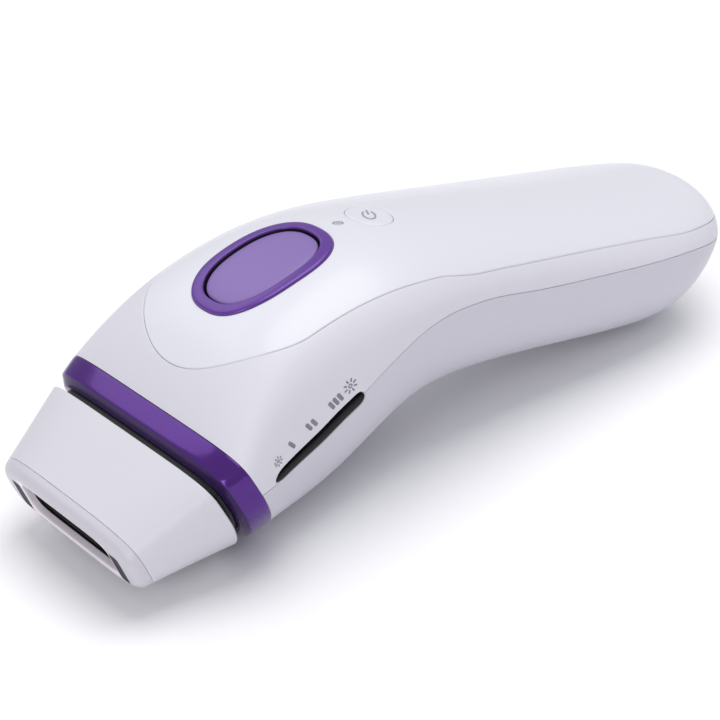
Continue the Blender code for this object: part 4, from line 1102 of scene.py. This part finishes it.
def skin_patch(name, u0, deg, outline, mat, turn=0.0, lift=0.035, ring=None):
    """Thin printed mark on the side skin: outline in millimetres, x along the handle and y up the section, turned in the plane."""
    th0 = math.radians(deg)
    c, s = math.cos(turn), math.sin(turn)
    def to_skin(pts, d):
        pts = np.asarray(pts, float)
        q = np.stack([pts[:, 0] * c - pts[:, 1] * s, pts[:, 0] * s + pts[:, 1] * c], -1)
        u, th = np.full(len(q), u0), np.full(len(q), th0)
        o = body_at(u0, th0)
        n = normal_at(u0, th0)
        e1 = body_at(u0 + 0.004, th0) - body_at(u0 - 0.004, th0)
        e1 /= np.linalg.norm(e1)
        e2 = np.cross(e1, n)
        e2 *= 1 if e2[2] > 0 else -1
        e2 /= np.linalg.norm(e2)
        want = o + q[:, :1] * e1 + q[:, 1:] * e2
        for _ in range(12):
            p = body_at(u, th)
            r = want - p
            pu = (body_at(u + 5e-4, th) - body_at(u - 5e-4, th)) / 1e-3
            pt = (body_at(u, th + 2e-3) - body_at(u, th - 2e-3)) / 4e-3
            a11, a12, a22 = pu @ e1, pt @ e1, pt @ e2
            a21 = pu @ e2
            det = a11 * a22 - a12 * a21
            r1, r2 = r @ e1, r @ e2
            u = u + np.clip((a22 * r1 - a12 * r2) / det, -0.01, 0.01) * 0.8
            th = th + np.clip((a11 * r2 - a21 * r1) / det, -0.1, 0.1) * 0.8
        return body_at(u, th) + normal_at(u, th) * d
    if ring is None:
        return loft(name, [to_skin(outline, -0.1), to_skin(outline, lift)], mat)
    return loft(name, [to_skin(outline, -0.1), to_skin(outline, lift), to_skin(ring, lift), to_skin(ring, -0.1)], mat, ring=True)


def stadium(x, y, half_w, half_l, angle=0.0, count=9):
    pts = [(half_w * math.cos(a), half_l - half_w + half_w * math.sin(a)) for a in np.linspace(0, math.pi, count)]
    pts += [(-px, -py) for px, py in pts]
    c, s = math.cos(angle), math.sin(angle)
    return [(x + px * c - py * s, y + px * s + py * c) for px, py in pts]


MARK_BAR = (0.46, 1.25)
LEAN = math.radians(12)
marks = []
for i, (u0, deg) in enumerate(((0.0447, -1.65), (0.0683, -2.85), (0.0755, -3.35), (0.1015, -3.83), (0.1083, -3.8), (0.1153, -3.7))):
    marks.append(skin_patch("level_bar_%d" % (i + 1), u0, deg, stadium(0, 0, *MARK_BAR, LEAN), M_PRINT))
for i, (u0, deg, size) in enumerate(((0.0262, -0.2, 0.92), (0.1327, -3.1, 1.35))):
    r = size * 0.42
    circle = [(r * math.cos(a), r * math.sin(a)) for a in np.linspace(0, 2 * math.pi, 25)[:-1]]
    inner = [(x * 0.48, y * 0.48) for x, y in circle]
    marks.append(skin_patch("sun_disc_%d" % (i + 1), u0, deg, circle, M_PRINT, ring=inner))
    for k in range(8):
        a = 2 * math.pi * k / 8 + 0.2
        marks.append(skin_patch("sun_ray_%d_%d" % (i + 1, k + 1), u0, deg, stadium(size * 1.02 * math.cos(a), size * 1.02 * math.sin(a), size * 0.13 + 0.03, size * 0.36, a - math.pi / 2, 5), M_PRINT))
for m in marks:
    extra(m, "housing")

# ------------------------------------------------------------------ power inlet
inlet = loft("power_inlet_fine", [
    inlet_row(8.2, 6.0, INLET_RIM - 11.6), inlet_row(8.2, 6.0, INLET_RIM - 0.35), inlet_row(8.1, 5.9, INLET_RIM - 0.12), inlet_row(7.9, 5.7, INLET_RIM),
    inlet_row(7.2, 5.0, INLET_RIM), inlet_row(6.98, 4.78, INLET_RIM - 0.15), inlet_row(6.9, 4.7, INLET_RIM - 0.45), inlet_row(6.9, 4.7, INLET_RIM - 10.0)], M_BLACK_AND_PAINTED_SHADE)
place(inlet, "power_inlet")

# ------------------------------------------------------------------ the inner pieces keep their shape and take their materials
INNER = {
    "filter_glass": M_FILTER, "flash_lamp": M_LAMP, "lamp_electrode_left": M_STEEL, "lamp_electrode_right": M_STEEL, "reflector": M_ALU, "lamp_holder": M_BLACK_AND_PAINTED_SHADE,
    "heat_sink": M_ALU, "fan_housing": M_BLACK_AND_PAINTED_SHADE, "fan_rotor": M_DARK, "button_carrier": M_BLACK_AND_PAINTED_SHADE, "trigger_switch": M_DARK, "power_switch": M_DARK, "trigger_spring": M_STEEL,
    "indicator_board": M_BOARD, "main_board": M_BOARD, "chassis": M_BLACK_AND_PAINTED_SHADE, "flash_capacitor": M_BLACK_AND_PAINTED_SHADE, "trigger_transformer": M_TAPE, "inlet_pin_left": M_BRASS,
    "inlet_pin_right": M_BRASS, "dust_filter": M_MESH,
}
for node, ob in NODES.items():
    mat = INNER.get(node)
    if node.startswith("board_screw"):
        mat = M_STEEL
    if node.startswith("indicator_led"):
        mat = M_LED
    if mat:
        ob.data.materials.clear()
        ob.data.materials.append(mat)
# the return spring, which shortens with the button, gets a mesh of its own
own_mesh(NODES["trigger_spring"])

# ------------------------------------------------------------------ floor, light and camera
STAGE = bpy.data.materials.new("pale_floor")
STAGE.use_nodes = True
sn, sl = nodes_of(STAGE)
sb = sn["Principled BSDF"]
tex = sn.new("ShaderNodeTexNoise")
tex.inputs["Scale"].default_value = 3.0
rr = sn.new("ShaderNodeMapRange")
rr.inputs["To Min"].default_value = 0.75
rr.inputs["To Max"].default_value = 0.85
sl.new(tex.outputs["Fac"], rr.inputs["Value"])
sl.new(rr.outputs["Result"], sb.inputs["Roughness"])
sb.inputs["Base Color"].default_value = (0.93, 0.93, 0.94, 1)
sb.inputs["Specular IOR Level"].default_value = 0.2
bm = bmesh.new()
bmesh.ops.create_circle(bm, cap_ends=True, segments=96, radius=6.0)
me = bpy.data.meshes.new("floor")
bm.to_mesh(me)
bm.free()
floor = bpy.data.objects.new("floor", me)
floor.location.z = -0.0004
me.materials.append(STAGE)
coll.objects.link(floor)


def light(name, where, target, size, power, colour=(1, 1, 1), size_y=None):
    li = bpy.data.lights.new(name, "AREA")
    li.energy = power
    li.color = colour
    li.shape = "RECTANGLE"
    li.size = size
    li.size_y = size_y or size
    ob = bpy.data.objects.new(name, li)
    ob.location = where
    ob.rotation_euler = (Vector(target) - Vector(where)).to_track_quat("-Z", "Y").to_euler()
    coll.objects.link(ob)
    return ob


world = bpy.data.worlds.new("studio")
bpy.context.scene.world = world
world.use_nodes = True
wn, wl = world.node_tree.nodes, world.node_tree.links
bg = wn["Background"]
bg.inputs["Color"].default_value = (0.95, 0.96, 1.0, 1)
bg.inputs["Strength"].default_value = 0.5
light("key_above", (0.28, 0.0, 1.35), (0, 0, 0.02), 1.1, 12.5, (1.0, 1.0, 1.0), 1.1)
light("back_softbox", (-0.05, 0.95, 0.95), (0, 0, 0.03), 0.9, 1.7, (1.0, 1.0, 1.0), 0.5)
light("front_right", (0.7, -1.1, 0.6), (0, 0, 0.03), 0.7, 0.5, (1.0, 0.99, 1.0), 0.9)
light("front_left", (-1.15, -0.62, 0.52), (-0.05, 0, 0.03), 0.5, 4.8, (1.0, 0.99, 1.0), 0.8)

cam_data = bpy.data.cameras.new("camera")
cam_data.lens = 111.55
cam_data.sensor_width = 36.0
cam = bpy.data.objects.new("camera", cam_data)
right = Vector((0.78400, -0.61377, -0.09295)).normalized()
back = Vector((-0.49404, -0.70757, 0.50524)).normalized()
upv = back.cross(right).normalized()
right = upv.cross(back).normalized()
m = Matrix((right, upv, back)).transposed().to_4x4()
m.translation = Vector((-0.26022, -0.35965, 0.27494))
cam.matrix_world = m
coll.objects.link(cam)
bpy.context.scene.camera = cam
bpy.context.scene.view_settings.view_transform = "Standard"

bpy.context.view_layer.update()
